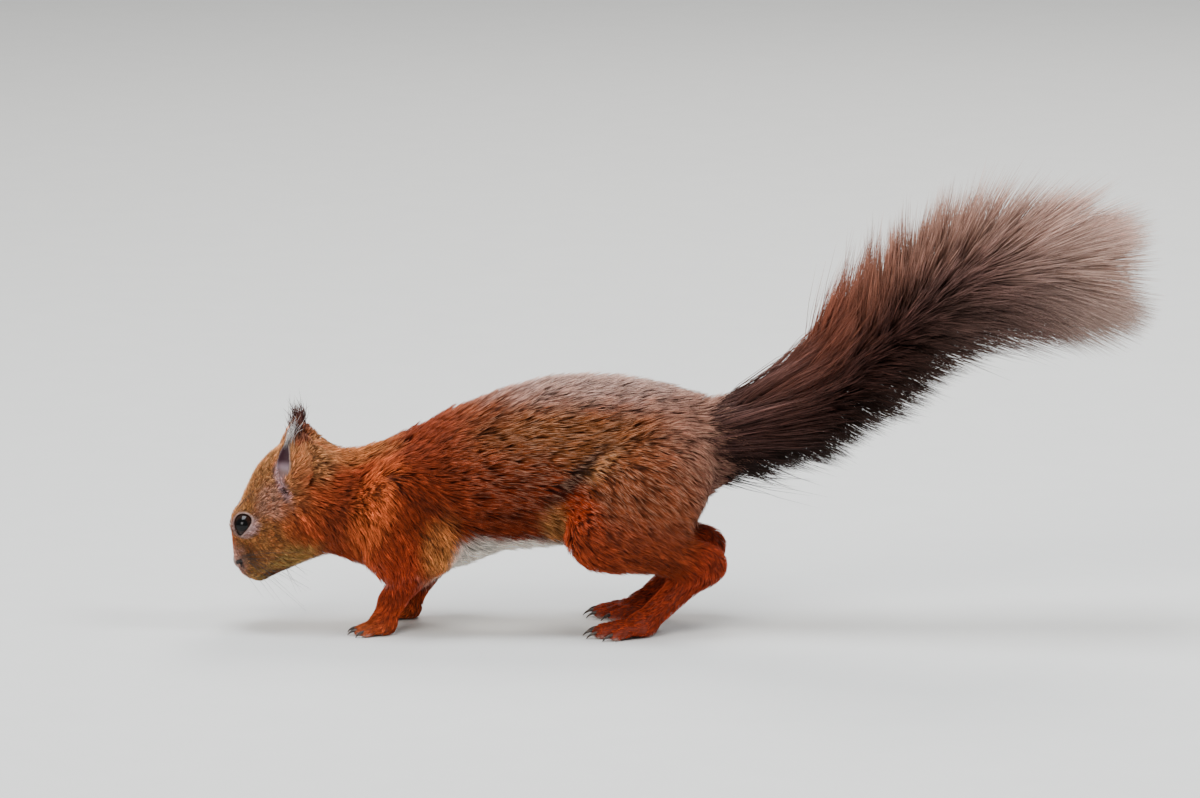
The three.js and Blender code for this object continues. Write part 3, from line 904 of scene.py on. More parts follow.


# Most patches are the coat's own colours; the creases, the ear slit and the underside of the jaw are painted
# shade.
PATCHES = (
    Patch("grey back", (0, -34, 106), (25, 70, 21), Tint.MAUVE, 0.9, soft=0.8),
    Patch("agouti flank", (26, -54, 76), (16, 40, 15), Tint.AGOUTI, 0.7, soft=0.8),
    Patch("dark ribs", (27, -80, 56), (14, 38, 19), Tint.RUST, 0.9),
    Patch("rump shade", (14, 2, 74), (24, 18, 24), Tint.DUSK, 0.7),
    Patch("tail shade", (12, 7, 60), (16, 13, 17), Tint.UMBER, 0.8),
    Patch("belly", (0, -66, 26), (27, 62, 15), Tint.CREAM, 1.0, soft=0.4),
    Patch("breast", (0, -104, 23), (10, 26, 14), Tint.CREAM, 1.0, soft=0.5),
    Patch("throat", (0, -150, 25), (7, 16, 9), Tint.CREAM, 0.7, soft=0.5),
    Patch("armpit", (21, -88, 34), (12, 8, 7), Tint.CREAM, 0.85, soft=0.7),
    Patch("elbow", (27, -100, 36), (10, 6.5, 15), Tint.BUFF, 1.0),
    # Painted shade: a dark band in the crease where the foreleg meets the body.
    Patch("elbow crease", (27, -104, 54.5), (9, 12, 2.4), Tint.SOOT, 0.75, pitch=-32),
    Patch("groin", (22, -56, 44), (13, 7, 10), Tint.GOLD, 0.75),
    Patch("haunch", (33, -18, 58), (14, 22, 22), Tint.BROWN, 0.6, pitch=44),
    Patch("thigh edge", (32, -46, 47), (14, 9, 22), Tint.FLAME, 0.85, pitch=24),
    Patch("lower thigh", (32, -26, 37), (14, 26, 13), Tint.CHESTNUT, 0.8),
    Patch("thigh crest", (30, -38, 68), (9, 9, 3), Tint.FAWN, 0.5, pitch=43),
    # Painted shade: a dark band in the groove where the flank's fur overlaps the thigh.
    Patch("thigh crease", (26, -50, 63.2), (14, 16, 3), Tint.SOOT, 0.88, pitch=41),
    Patch("shoulder", (27, -112, 50), (15, 22, 20), Tint.RUST, 0.65),
    Patch("heel", (22, 6, 25), (12, 10, 12), Tint.BRICK, 0.8),
    Patch("forearm", (22, -114, 20), (14, 16, 20), Tint.EMBER, 0.7),
    Patch("collar", (16, -139, 44), (12, 7, 20), Tint.CHESTNUT, 1.0, pitch=-12),
    Patch("neck", (20, -126, 52), (12, 8, 18), Tint.COPPER, 0.95, pitch=-20),
    Patch("nape", (6, -136, 72), (14, 16, 8), Tint.GOLD, 0.5),
    Patch("forehead", in_head(24, 18), (8, 24, 8), Tint.FAWN, 0.8, pitch=42),
    Patch("nose bridge", in_head(9, 7), (4.5, 12, 6), Tint.COPPER, 0.85, pitch=42, soft=0.8),
    Patch("cheek", in_head(20, -13, 10), (8, 12, 6), Tint.OLIVE, 0.8, pitch=42),
    Patch("temple", in_head(30, 9, 11), (6, 7, 6), Tint.PINK, 0.6, pitch=42),
    Patch("ear base", (14, -148, 68), (12, 6, 8), Tint.FAWN, 0.7),
    Patch("ear channel", (11, -160.2, 58.5), (7, 2.6, 7.6), Tint.LILAC, 0.9, pitch=14, soft=0.7),
    # Painted shade: a near-black slit in the ear's opening, where its hollow goes in.
    Patch("ear slit", (12, -159, 55.6), (5, 1.1, 2.2), Tint.SOOT, 0.95, pitch=14, soft=0.6),
    Patch("ear back", (16, -152.5, 77), (6, 5, 5), Tint.UMBER, 0.85, soft=0.6),
    # Painted shade: the underside of the jaw is darkened as the shadow under it.
    Patch("chin", in_head(12, -14.5), (9, 7.5, 5.6), Tint.SOOT, 0.9, pitch=42),
    Patch("whisker bed", in_head(10, 0.5, 6), (6, 4, 3.4), Tint.UMBER, 0.4, pitch=42),
    Patch("muzzle", (4, -178.5, 24.6), (9, 4.3, 8), Tint.PINK, 0.9, soft=0.8),
    Patch("eye ring", in_head(15.9, 8.8, 12.5), (6, 4.7, 5.5), Tint.BLUSH, 0.95, pitch=60, soft=0.5),
)


def wobble(points: Array, scale: float, seed: float = 0.0) -> Array:
    """A smooth pattern from -1 to 1 with the given scale in millimetres."""
    p = points * (2 * math.pi / scale)
    turned = [p @ np.array(v) + seed * k for k, v in
              enumerate(((0.9, 0.3, 0.2), (-0.4, 0.8, 0.5), (0.1, -0.6, 0.9), (0.7, 0.5, -0.7)), 1)]
    first = np.sin(turned[0] + 1.3 * np.sin(turned[1]))
    return (first + np.sin(turned[2] * 1.7 + 1.1 * np.sin(turned[3]))) / 2


HEAD_BACK = tuple(unit(np.subtract(in_head(1, 0), in_head(0, 0))))
EAR_UP = tuple(unit(np.subtract(EAR.tip, EAR.root)))

# Each row gives a lie's name, the middle or the two ends of its form on the left side, its radii, its way, a
# tuft's length and width, the density, the tint and the shag.
BODY_LIES = (
    ("muzzle", (in_head(4, -3, 1.5), in_head(12, -2, 3)), (4, 6), HEAD_BACK, 1.4, 0.16, 9.0, Tint.FACE, 0.03),
    ("brow", (in_head(19, 8, 4),), (7, 8, 7), HEAD_BACK, 1.7, 0.16, 9.0, Tint.FACE, 0.04),
    ("cheek", (in_head(20, -4, 7),), (8, 12, 11), (0.1, 0.86, -0.2), 2.1, 0.18, 8.0, Tint.FACE, 0.08),
    ("jaw", (in_head(8, -10, 1), in_head(21, -11, 2)), (4, 8), (0, 0.93, 0.2), 2.4, 0.2, 6.5,
     Tint.OLIVE, 0.12),
    ("jowl", (in_head(34, -4, 9),), (7, 9, 13), (0.15, 0.5, -0.8), 4.4, 0.25, 5.0, Tint.RUSSET, 0.4),
    ("crown", (in_head(36, 9, 5),), (10, 14, 11), (0.1, 0.9, 0.3), 3.2, 0.21, 6.4, Tint.FAWN, 0.12),
    ("ear root", ((11, -146, 66), (13, -150, 75)), (6, 3), (0.1, 0.6, 0.55), 4.8, 0.25, 4.6, Tint.BROWN, 0.3),
    ("nape", ((6, -146, 60), (8, -128, 60)), (14, 16), (0.05, 0.95, -0.1), 7.0, 0.38, 2.4, Tint.RUSSET, 0.5),
    ("throat", ((4, -146, 40), (6, -126, 38)), (12, 14), (0.05, 0.5, -0.8), 7.0, 0.38, 2.2, Tint.RUSSET, 0.5),
    ("breast", ((6, -124, 42), (8, -96, 40)), (15, 16), (0, 0.75, -0.62), 8.0, 0.4, 2.3, Tint.RUSSET, 0.6),
    ("withers", ((8, -122, 60), (8, -92, 70)), (14, 17), (0.05, 0.95, 0.16), 8.0, 0.42, 2.4,
     Tint.CHESTNUT, 0.8),
    ("back", ((9, -84, 74), (9, -20, 78)), (18, 20), (0, 0.98, 0.02), 9.0, 0.35, 2.1, Tint.BROWN, 0.4),
    ("flank", ((14, -84, 50), (12, -44, 54)), (14, 15), (0, 0.97, -0.1), 9.0, 0.35, 2.3, Tint.RUST, 0.45),
    ("belly", ((8, -84, 42), (8, -30, 46)), (11, 11), (0.1, 0.9, -0.3), 9.5, 0.4, 2.0, Tint.RUST, 0.9),
    ("rump", ((6, -12, 72), (4, 6, 72)), (20, 12), (0.05, 0.93, -0.36), 9.5, 0.42, 2.4, Tint.DUSK, 0.7),
)
END_LIES = (
    ("ear", (EAR.root, EAR.tip), (5, 2), EAR_UP, 2.4, 0.2, 8.5, Tint.FAWN, 0.05),
    ("tail root", ((3, 8, 76), (3, 60, 98)), (8, 8), (0, 0.9, 0.05), 13.0, 0.42, 2.0, Tint.UMBER, 0.5),
)


class Coat:
    """The lie, the markings and the painted shade of the whole coat, read at any place on the skin.

    merge is how far apart two lies begin to blend, turn how far from the middle the lie swings to its side's
    own way, and wander how far it strays from it.
    """

    merge = 2.2
    turn = 6.0
    wander = 0.1

    def __init__(self, outer: Anatomy) -> None:
        """Takes the coat's outer form, against whose parts the lies are weighed."""
        self.outer = outer
        self.lies = [lie for side in SIDES
                     for lie in (*self.make_lies(BODY_LIES, side), *self.make_leg_lies(side),
                                 *self.make_lies(END_LIES, side))]

    @staticmethod
    def make_lies(rows: Sequence[tuple], side: str) -> Iterable[Lie]:
        """The lies of some rows, on one side."""
        for name, places, radii, *rest in rows:
            ends = [on_side(place, side) for place in places]
            form = Ball(*ends, radii) if len(ends) == 1 else Limb(*ends, radii)
            yield Lie(name, form, *rest)

    @staticmethod
    def make_leg_lies(side: str) -> Iterable[Lie]:
        """Lays the coat down a foreleg and a hind leg.

        Args:
            side: Left or right.

        Returns:
            The lies, from the trunk down.
        """
        shoulder, elbow, wrist, ball = FORELEG.joints(side)
        fingers = (ball[0], ball[1] - 9, 2)
        yield Lie("upper arm", Limb(shoulder, elbow, (13, 10), 0.8), (0.05, 0.55, -0.82), 7.5, 0.4, 2.7,
                  Tint.RUSSET, 0.55)
        yield Lie("forearm", Limb(elbow, wrist, (9, 4.5)), (0.1, 0.2, -0.96), 5.0, 0.32, 3.4, Tint.EMBER,
                  0.3)
        yield Lie("forepaw", Limb(wrist, fingers, (4, 3)), (0, -0.9, -0.42), 2.2, 0.24, 4.5, Tint.COPPER,
                  0.1)
        haunch, knee, hock, ball = HINDLEG.joints(side)
        toes = (ball[0], ball[1] - 16, 2)
        yield Lie("haunch", Ball(haunch, (13, 30, 23), math.radians(44)), (0, 0.78, -0.62), 9.0, 0.35, 2.4,
                  Tint.BROWN, 0.45)
        yield Lie("knee", Limb(haunch, knee, (16, 11), 0.7), (0, 0.7, -0.7), 7.5, 0.4, 2.6, Tint.RUST, 0.45)
        yield Lie("shank", Limb(knee, hock, (11, 6)), (0.05, 0.9, -0.42), 6.5, 0.36, 2.7, Tint.RUST, 0.4)
        yield Lie("hind foot", Limb(hock, ball, (5.5, 4)), (0, -0.76, -0.65), 3.2, 0.26, 3.0, Tint.EMBER,
                  0.15)
        yield Lie("toes", Limb(ball, toes, (4, 2)), (0, -1, -0.1), 2.0, 0.24, 3.0, Tint.EMBER, 0.05)

    def weigh(self, points: Array) -> Array:
        """How much each lie holds at each point, as shares that add up to one."""
        off = np.stack([lie.form.at(points) for lie in self.lies], 1)
        off -= off.min(1, keepdims=True)
        held = np.exp(-off / self.merge)
        return held / held.sum(1, keepdims=True)

    def ways(self, points: Array, normals: Array, held: Array) -> Array:
        """Turns the coat's lie along the skin.

        Args:
            points: Places in millimetres, one in each row.
            normals: The skin's normals there.
            held: Each lie's share at them.

        Returns:
            The lie's direction at each point.
        """
        sides = np.where(points[:, :1] < 0, -1.0, 1.0)
        way = held @ np.array([lie.way for lie in self.lies], float)
        way[:, :1] *= sides * np.clip(np.abs(points[:, :1]) / self.turn, 0, 1)
        way = way + self.wander * np.stack([wobble(points, 13, 1.0 + m) for m in range(3)], 1)
        way -= normals * (way * normals).sum(1, keepdims=True)
        return unit(way)

    def value(self, held: Array, key: str) -> Array:
        """A size of the coat at each point, blended between lies."""
        return held @ np.array([getattr(lie, key) for lie in self.lies], float)

    def tints(self, points: Array, held: Array) -> Array:
        """Colours the coat: the ground colours, then the markings and patches of painted shade one over
        another.

        Args:
            points: Places in millimetres, one in each row.
            held: Each lie's share at them.

        Returns:
            The colours.
        """
        colour = held @ np.array([lie.tint.rgb for lie in self.lies])
        noise = wobble(points, 9, 0.5) + 0.6 * wobble(points, 3.7, 2.5)
        for patch in PATCHES:
            mask = patch.mask(points, noise)[:, None]
            colour = colour * (1 - mask) + patch.tint.rgb * mask
        plain, head = 1 - self.agouti(points), rise(points[:, 1], -140, -152)
        mottle = 0.13 * wobble(points, 5.5, 4.0)
        mottle = mottle + (0.1 + 0.12 * plain + 0.14 * head) * wobble(points, 2.3, 6.0)
        mottle += (0.12 * plain + 0.12 * head) * wobble(points, 1.3, 8.0)
        fleck = 0.4 * (head * rise(wobble(points, 3.1, 5.0), 0.1, 0.7))[:, None]
        colour = colour * (1 - fleck) + Tint.COPPER.rgb * 0.8 * fleck
        return colour * (1 + mottle[:, None])

    def agouti(self, points: Array) -> Array:
        """How strongly the hairs are banded at each point: most on the back and flanks."""
        trunk = rise(points[:, 1], -112, -62) * rise(points[:, 1], 40, 0)
        return trunk * rise(points[:, 2], 34, 66)


# ---------------------------------------------------------------- tufts


@dataclass
class Locks:
    """Tufts of hair, as arrays with one row for each.

    Each runs from its root over a bend to its tip. flat is the direction that its broad side faces.
    """

    root: Array
    bend: Array
    tip: Array
    flat: Array
    width: Array
    tint: Array
    agouti: Array
    chance: Array

    def take(self, chosen: Array) -> Locks:
        """The chosen tufts alone."""
        return Locks(*(getattr(self, key)[chosen] for key in self.__dataclass_fields__))

    def shell(self, rings: int, unwrap: Callable[[Array], Array], thick: float = 0.55) -> Shell:
        """Closed three-sided tapering meshes, one for each tuft.

        Args:
            rings: How many rings of three corners each has before its point.
            unwrap: Gives a root's place on the piece's map.
            thick: A tuft's thickness as a share of its width.

        Returns:
            The tufts as one surface of triangles.
        """
        count = len(self.root)
        stops = np.linspace(0, 1, rings + 1)[:-1] ** 0.9
        widths = {2: (0.85, 0.85), 3: (0.8, 1.0, 0.75)}[rings]
        corners, along = [], []
        for t, wide in zip(stops, widths):
            centre = (1 - t) ** 2 * self.root + 2 * t * (1 - t) * self.bend + t * t * self.tip
            ahead = unit((1 - t) * (self.bend - self.root) + t * (self.tip - self.bend))
            side = unit(np.cross(ahead, self.flat))
            up = np.cross(side, ahead)
            half = (self.width * wide / 2)[:, None]
            corners += [centre - side * half, centre + side * half, centre + up * half * 2 * thick]
            along += [t, t, t]
        corners.append(self.tip)
        along.append(1.0)
        points = np.stack(corners, 1)
        size = points.shape[1]
        faces = [(0, 2, 1)]
        for r in range(rings - 1):
            a, b = 3 * r, 3 * r + 3
            for i, j in ((0, 1), (1, 2), (2, 0)):
                faces += [(a + i, a + j, b + j), (a + i, b + j, b + i)]
        a = 3 * (rings - 1)
        faces += [(a + i, a + j, size - 1) for i, j in ((0, 1), (1, 2), (2, 0))]
        place = unwrap(self.root)
        shift = np.array([[(0, 0.5, 1)[c % 3] if c < size - 1 else 0.5, a] for c, a in enumerate(along)])
        uv = np.clip(place, 0.002, 0.995)[:, None, :] + 0.003 * shift[None]
        every = np.arange(count)[:, None, None] * size + np.array(faces)[None]
        spread = lambda v: np.repeat(v, size, axis=0)
        return Shell(
            points.reshape(-1, 3),
            every.reshape(-1, 3),
            {
                "tint": spread(self.tint),
                "agouti": spread(self.agouti),
                "chance": spread(self.chance),
                "along": np.tile(np.array(along), count),
            },
            uv.reshape(-1, 2),
        )

    def gather(self, share: Array | float, every: int, contrast: float, rng: np.random.Generator) -> None:
        """Draws neighbouring tufts together into pointed locks, each with its own shade, and with painted
        shade at its edges, where the locks part.

        Args:
            share: How far each tip goes to its lock's own line, up to 1.
            every: How many tufts make a lock.
            contrast: How far a lock's shade may differ from the next one's.
            rng: The source of chance.
        """
        leaders = rng.choice(len(self.root), max(1, len(self.root) // every), replace=False)
        tree = KDTree(len(leaders))
        for i, leader in enumerate(leaders):
            tree.insert(self.root[leader], i)
        tree.balance()
        found = [tree.find(root) for root in self.root]
        lock, far = (np.array([entry[k] for entry in found]) for k in (1, 2))
        lead = leaders[lock]
        length = lambda tufts: np.linalg.norm(self.tip[tufts] - self.root[tufts], axis=1)[:, None]
        scale = length(slice(None)) / np.maximum(length(lead), 0.1)
        pull = (share * (0.6 + 0.4 * self.chance))[:, None]
        tip = self.root[lead] + (self.tip[lead] - self.root[lead]) * scale
        bend = self.root[lead] + (self.bend[lead] - self.root[lead]) * scale
        self.tip = self.tip + (tip - self.tip) * pull
        self.bend = self.bend + (bend - self.bend) * pull * 0.5
        # Each tuft is painted lighter near its lock's middle and darker towards its edge: painted shade where
        # the locks part.
        edge = far / np.maximum(np.bincount(lock, far)[lock] / np.bincount(lock)[lock], TINY)
        shade = rng.uniform(1 - contrast, 1 + contrast, len(leaders))[lock]
        self.tint = self.tint * (shade * (1.12 - 0.16 * np.clip(edge, 0, 2)))[:, None]


@dataclass(frozen=True)
class Unwrap:
    """A map of the skin round a part's axis: the distance along it, and the angle round it."""

    start: Point
    end: Point
    aside: Point = (0, 0, -1)

    def __call__(self, points: Array) -> Array:
        """Finds places on the map.

        Args:
            points: Places in millimetres, one in each row.

        Returns:
            The places, from 0 to 1 both ways.
        """
        start, end = np.array(self.start, float), np.array(self.end, float)
        way = unit(end - start)
        across = unit(np.array(self.aside, float) - way * (np.array(self.aside, float) @ way))
        other = np.cross(way, across)
        offset = points - start
        along = offset @ way / np.linalg.norm(end - start)
        angle = np.arctan2(offset @ other, offset @ across)
        return np.stack([0.01 + 0.97 * np.clip(along, 0, 1), 0.5 + 0.48 * angle / math.pi], 1)


@dataclass(frozen=True)
class Piece:
    """A piece of the coat: the lies whose tufts it holds, its side, its map and its finish's slot."""

    name: str
    lies: tuple[str, ...]
    slot: str
    unwrap: Unwrap
    side: int = 0


def coat_pieces() -> list[Piece]:
    """Splits the short coat into pieces.

    Returns:
        Each piece's lies, slot, map and side.
    """
    pieces = [
        Piece("coat_face", ("muzzle", "brow", "cheek", "jaw"), "face",
              Unwrap(in_head(-1, 0), in_head(34, 0))),
        Piece("coat_crown", ("crown", "jowl", "ear root"), "face", Unwrap(in_head(14, 4), in_head(56, 4))),
        Piece("coat_neck", ("nape", "throat"), "russet", Unwrap((0, -160, 50), (0, -118, 50))),
        Piece("coat_chest", ("breast", "withers"), "russet", Unwrap((0, -130, 54), (0, -84, 58))),
        Piece("coat_back", ("back",), "back", Unwrap((0, -96, 66), (0, -8, 68))),
        Piece("coat_flank", ("flank", "belly"), "flank", Unwrap((0, -96, 60), (0, -20, 60))),
        Piece("coat_rump", ("rump", "tail root"), "back", Unwrap((0, -34, 70), (0, 30, 76))),
    ]
    for side, sign in SIDES.items():
        shoulder, _, wrist, ball = FORELEG.joints(side)
        haunch, knee, hock, foot = HINDLEG.joints(side)
        toe = (foot[0], foot[1] - 22, 1)
        pieces += [
            Piece(f"coat_foreleg_{side}", ("upper arm", "forearm"), "russet",
                  Unwrap((shoulder[0], shoulder[1], 72), (wrist[0], wrist[1], 8), (0, 1, 0)), sign),
            Piece(f"coat_forepaw_{side}", ("forepaw",), "russet",
                  Unwrap(wrist, (ball[0], ball[1] - 14, 1)), sign),
            Piece(f"coat_haunch_{side}", ("haunch", "knee"), "flank",
                  Unwrap((haunch[0], haunch[1] + 8, 90), (knee[0], knee[1], 24), (0, 1, 0)), sign),
            Piece(f"coat_shank_{side}", ("shank",), "russet",
                  Unwrap((knee[0], knee[1] - 12, 40), hock), sign),
            Piece(f"coat_hind_foot_{side}", ("hind foot", "toes"), "russet", Unwrap(hock, toe), sign),
            Piece(f"coat_ear_{side}", ("ear",), "ear",
                  Unwrap(on_side(EAR.root, side), on_side(EAR.tip, side), (0, -1, 0)), sign),
        ]
    return pieces


class Pelt:
    """The short coat: tufts rooted all over the skin, each reaching out to the coat's outer form.

    bare is how far over the outer form a root stands where there is no coat, stray how far a tuft turns from
    the lie, sunk how deep its root sits in the skin, and mottle how far shades differ. Each of locks gives
    how far tips are drawn together, how many tufts make a lock and the locks' contrast.
    """

    seed = 41
    bare = 0.3
    stray = 0.16
    sunk = 0.25
    mottle = 0.17
    locks = ((0.55, 6, 0.13), (0.3, 45, 0.15))

    def __init__(self, skin: Shell, coat: Coat, normals: Array, share: float) -> None:
        """Takes the skin and its normals, the coat's lie, and the share of the tufts to make."""
        self.skin, self.coat, self.normals, self.share = skin, coat, normals, share
        self.rng = np.random.default_rng(self.seed)

    def roots(self) -> tuple[Array, Array]:
        """Strews roots over the skin as densely as the coat says.

        Returns:
            The roots, and the skin's normals there.
        """
        points, faces = self.skin.points, self.skin.faces
        triangles = np.concatenate([faces[:, (0, 1, 2)], faces[:, (0, 2, 3)]])
        a, b, c = (points[triangles[:, m]] for m in range(3))
        area = np.linalg.norm(np.cross(b - a, c - a), axis=1) / 2
        middle = (a + b + c) / 3
        density = self.coat.value(self.coat.weigh(middle), "density") * self.bareness(middle)
        total = np.cumsum(area * density * self.share)
        count = int(total[-1])
        picked = np.searchsorted(total, self.rng.uniform(0, total[-1], count))
        u, v = self.rng.uniform(size=(2, count, 1))
        turned = u + v > 1
        u, v = np.where(turned, 1 - u, u), np.where(turned, 1 - v, v)
        corner = triangles[picked]
        parts = [(values[corner[:, 0]] * (1 - u - v) + values[corner[:, 1]] * u + values[corner[:, 2]] * v)
                 for values in (points, self.normals)]
        return parts[0], unit(parts[1])

    def bareness(self, points: Array) -> Array:
        """Thins the coat out: none on the eyes, nose, soles or along the tail.

        Args:
            points: Places in millimetres, one in each row.

        Returns:
            How much of it grows at each point.
        """
        grown = np.ones(len(points))
        for side in SIDES:
            slit, out = Slit(EYE, side).share(*points.T)
            grown *= np.where(out > -1, rise(slit, 1.15, 1.38), 1)
            grown *= rise(Spoon.bowl(EAR, side, 0.3).at(points), 0.1, 0.8)
            grown *= rise(self.coat.outer.nostril_hole(side).at(points), 0.5, 1.1)
        grown *= rise(Ball(NOSE.pad, (3.9, 3.0, 3.1), HEAD_PITCH).at(points), -0.3, 0.6)
        return grown * rise(points[:, 2], 0.9, 1.8) * rise(points[:, 1], 24, 10)

    def grow(self) -> tuple[Locks, Array]:
        """Grows the short coat.

        Returns:
            The tufts, and the number of the lie that holds most at each.
        """
        root, normal = self.roots()
        held = self.coat.weigh(root)
        way = self.coat.ways(root, normal, held)
        chance = self.rng.uniform(size=len(root))
        outside = self.coat.outer.body.at(root)
        deep = np.where(outside > self.bare, 0.7, np.maximum(-outside, 0.25))
        size = self.coat.value(held, "length") * self.rng.uniform(0.75, 1.2, len(root))
        long = np.maximum(size, deep * 1.35)
        shag = self.coat.value(held, "shag")
        rough = 0.5 * self.rng.normal(size=len(root)) + wobble(root, 7.0, 3.0)
        high = deep * self.rng.uniform(0.8, 1.04, len(root)) + shag * rough
        run = np.sqrt(np.maximum(long**2 - high**2, 0.2))
        side = np.cross(normal, way)
        way = unit(way + side * (self.stray * self.rng.normal(size=len(root)))[:, None])
        tip = root + way * run[:, None] + normal * high[:, None]
        tip = np.where((outside > self.bare)[:, None], tip, self.hug(tip, high - deep))
        bend = root + way * (0.45 * run)[:, None] + normal * (0.8 * high)[:, None]
        width = self.coat.value(held, "width") * self.rng.uniform(0.7, 1.25, len(root))
        tint = self.coat.tints(root, held) * np.exp(self.rng.normal(0, self.mottle, (len(root), 1)))
        banded = self.coat.agouti(root)
        locks = Locks(root - normal * self.sunk, bend, tip, normal, width, tint, banded, chance)
        soft = np.clip((size - 4) / 5, 0.06, 1)
        for pull, every, contrast in self.locks:
            locks.gather(pull * soft, every, contrast, self.rng)
        for ends in (locks.tip, locks.bend):
            ends[:, 2] = np.maximum(ends[:, 2], LOWEST)
        return locks, np.argmax(held, 1)

    def hug(self, tips: Array, over: Array) -> Array:
        """Tips moved to where they stand over the coat's outer form by the given height."""
        here, gradient = self.coat.outer.body.slope(tips)
        steep = np.maximum((gradient**2).sum(1), 0.3)
        shift = np.clip((here - over) / steep, -2.5, 5.0)
        shift = np.where(np.abs(here) < 7, shift, 0)
        return tips - gradient * shift[:, None]

    def build(self, finish: bpy.types.Material) -> list[bpy.types.Object]:
        """Makes the pieces of the short coat.

        Args:
            finish: The material.

        Returns:
            The pieces.
        """
        locks, lie = self.grow()
        names = np.array([entry.name for entry in self.coat.lies])[lie]
        made = []
        for piece in coat_pieces():
            chosen = np.isin(names, piece.lies)
            if piece.side:
                chosen &= np.sign(locks.root[:, 0]) == piece.side
            if not chosen.any():
                continue
            shell = locks.take(chosen).shell(2, piece.unwrap)
            made.append(report(shell.build(piece.name, finish), piece.slot))
        return made


@dataclass(frozen=True)
class Brush:
    """The tail's long hair, which stands out round the tail like a bottle brush.

    stops are shares of the tail's length, at which above and below give the hair's angle from the tail in
    degrees, and high, side and low its colours: a dark brown ground, with painted light on the top and
    painted shade on the underside. longest is a hair's greatest length.
    """

    seed: int = 97
    count: int = 26000
    longest: float = 44.0
    width: float = 0.38
    pieces: int = 3
    parting: float = 0.3
    flatness: Point = (1, 0.85, 0.85)
    stops: tuple[float, ...] = (0.0, 0.15, 0.35, 0.55, 0.75, 1.0)
    above: tuple[float, ...] = (14, 24, 42, 56, 60, 46)
    below: tuple[float, ...] = (30, 54, 72, 74, 60, 42)
    # high holds painted light on the top and low painted shade on the underside; the paler last stops are
    # partly a painted sheen.
    high: tuple[str, ...] = ("#5c423d", "#5b382f", "#67392a", "#724a3b", "#8d6c5e", "#bd9f92")
    side: tuple[str, ...] = ("#3e2622", "#39231e", "#3a221d", "#432a25", "#674c45", "#b49688")
    low: tuple[str, ...] = ("#211512", "#1e1310", "#221511", "#33231e", "#604a44", "#a48b80")

    def line(self, s: Array) -> tuple[Array, Array, Array]:
        """Follows the tail's middle line.

        Args:
            s: Shares of the tail's length.

        Returns:
            The places on it, the way that it runs and the tail's radius.
        """
        knots = np.array([(0, t.y, t.z) for t in TAIL], float)
        steps = np.linalg.norm(np.diff(knots, axis=0), axis=1)
        at = np.concatenate([[0], np.cumsum(steps)]) / steps.sum()
        read = lambda values, where: np.interp(where, at, values)
        middle = np.stack([read(knots[:, m], s) for m in range(3)], 1)
        ahead = np.stack([read(knots[:, m], np.minimum(s + 0.06, 1)) for m in range(3)], 1)
        behind = np.stack([read(knots[:, m], np.maximum(s - 0.06, 0)) for m in range(3)], 1)
        return middle, unit(ahead - behind), read(np.array([t.core for t in TAIL]), s)

    def grow(self, outer: Anatomy, share: float) -> tuple[Locks, Array]:
        """The brush's tufts, and how far along the tail each is rooted.

        Args:
            outer: The coat's outer form, which the hair reaches out to.
            share: The share of the tufts to make.

        Returns:
            The tufts, and their places along the tail from 0 to 1.
        """
        rng = np.random.default_rng(self.seed)
        count = int(self.count * share)
        s = rng.beta(1.15, 0.88, count)
        angle = rng.uniform(0, 2 * math.pi, count)
        middle, ahead, core = self.line(s)
        across = np.array([1.0, 0, 0])
        above = unit(np.cross(ahead, across))
        above *= np.sign(above[:, 2:3] + TINY)
        radial = across * np.cos(angle)[:, None] + above * np.sin(angle)[:, None]
        top = 0.5 + 0.5 * np.sin(angle)
        stand_top, stand_low = (np.interp(s, self.stops, table) for table in (self.above, self.below))
        stand = np.radians(stand_low + (stand_top - stand_low) * top + rng.normal(0, 8, count))
        fan = rise(s, 0.82, 1.0)
        stand *= 1 - fan * (1 - np.sqrt(rng.uniform(0, 1, count)))
        part = self.parting * rise(s, 0.1, 0.4) * rise(top, 0.25, 0.6)
        splay = unit(radial * self.flatness + above * part[:, None])
        way = ahead * np.cos(stand)[:, None] + splay * np.sin(stand)[:, None]
        way = unit(way + rng.normal(0, 0.07, (count, 3)))
        root = middle + radial * (core * 0.9)[:, None]
        reach = np.full(count, 1.0)
        for _ in range(16):
            reach += np.maximum(-outer.body.at(root + way * reach[:, None]), 0)
        uneven = rng.normal(1.05 + 0.15 * rise(top, 0.5, 0.1), 0.1)
        reach = np.minimum(reach, self.longest) * np.clip(uneven, 0.5, 1.22)
        tip = root + way * reach[:, None] + ahead * (0.06 * reach)[:, None]
        lift = unit(way + radial * 0.4)
        bend = root + lift * (0.48 * reach)[:, None]
        chance = rng.uniform(size=count)
        width = self.width * rng.uniform(0.7, 1.25, count) * (1 - 0.3 * s)
        tint = self.tints(s, top) * np.exp(rng.normal(0, 0.24, (count, 1)) * (1 - 0.5 * s[:, None]))
        locks = Locks(root, bend, tip, radial, width, tint, 0 * s, chance)
        locks.gather(0.5, 6, 0.08, rng)
        locks.gather(0.5 + 0.3 * rise(top, 0.6, 0.85) - 0.3 * s, 26, 0.1, rng)
        locks.gather(0.25, 120, 0.06, rng)
        return locks, s

    def tints(self, s: Array, top: Array) -> Array:
        """The hair's colour: near black below and chestnut above, as painted shade and painted light, and
        mauve towards the tip, partly its own colour and partly a painted sheen.
        """
        tables = (np.array([paint(code) for code in codes]).T for codes in (self.low, self.side, self.high))
        low, side, high = (np.stack([np.interp(s, self.stops, column) for column in table], 1)
                           for table in tables)
        # under lays painted shade on the underside, and over painted light on the top.
        under, over = rise(top, 0.5, 0.12)[:, None], rise(top, 0.5, 0.9)[:, None]
        return side * (1 - under - over) + low * under + high * over

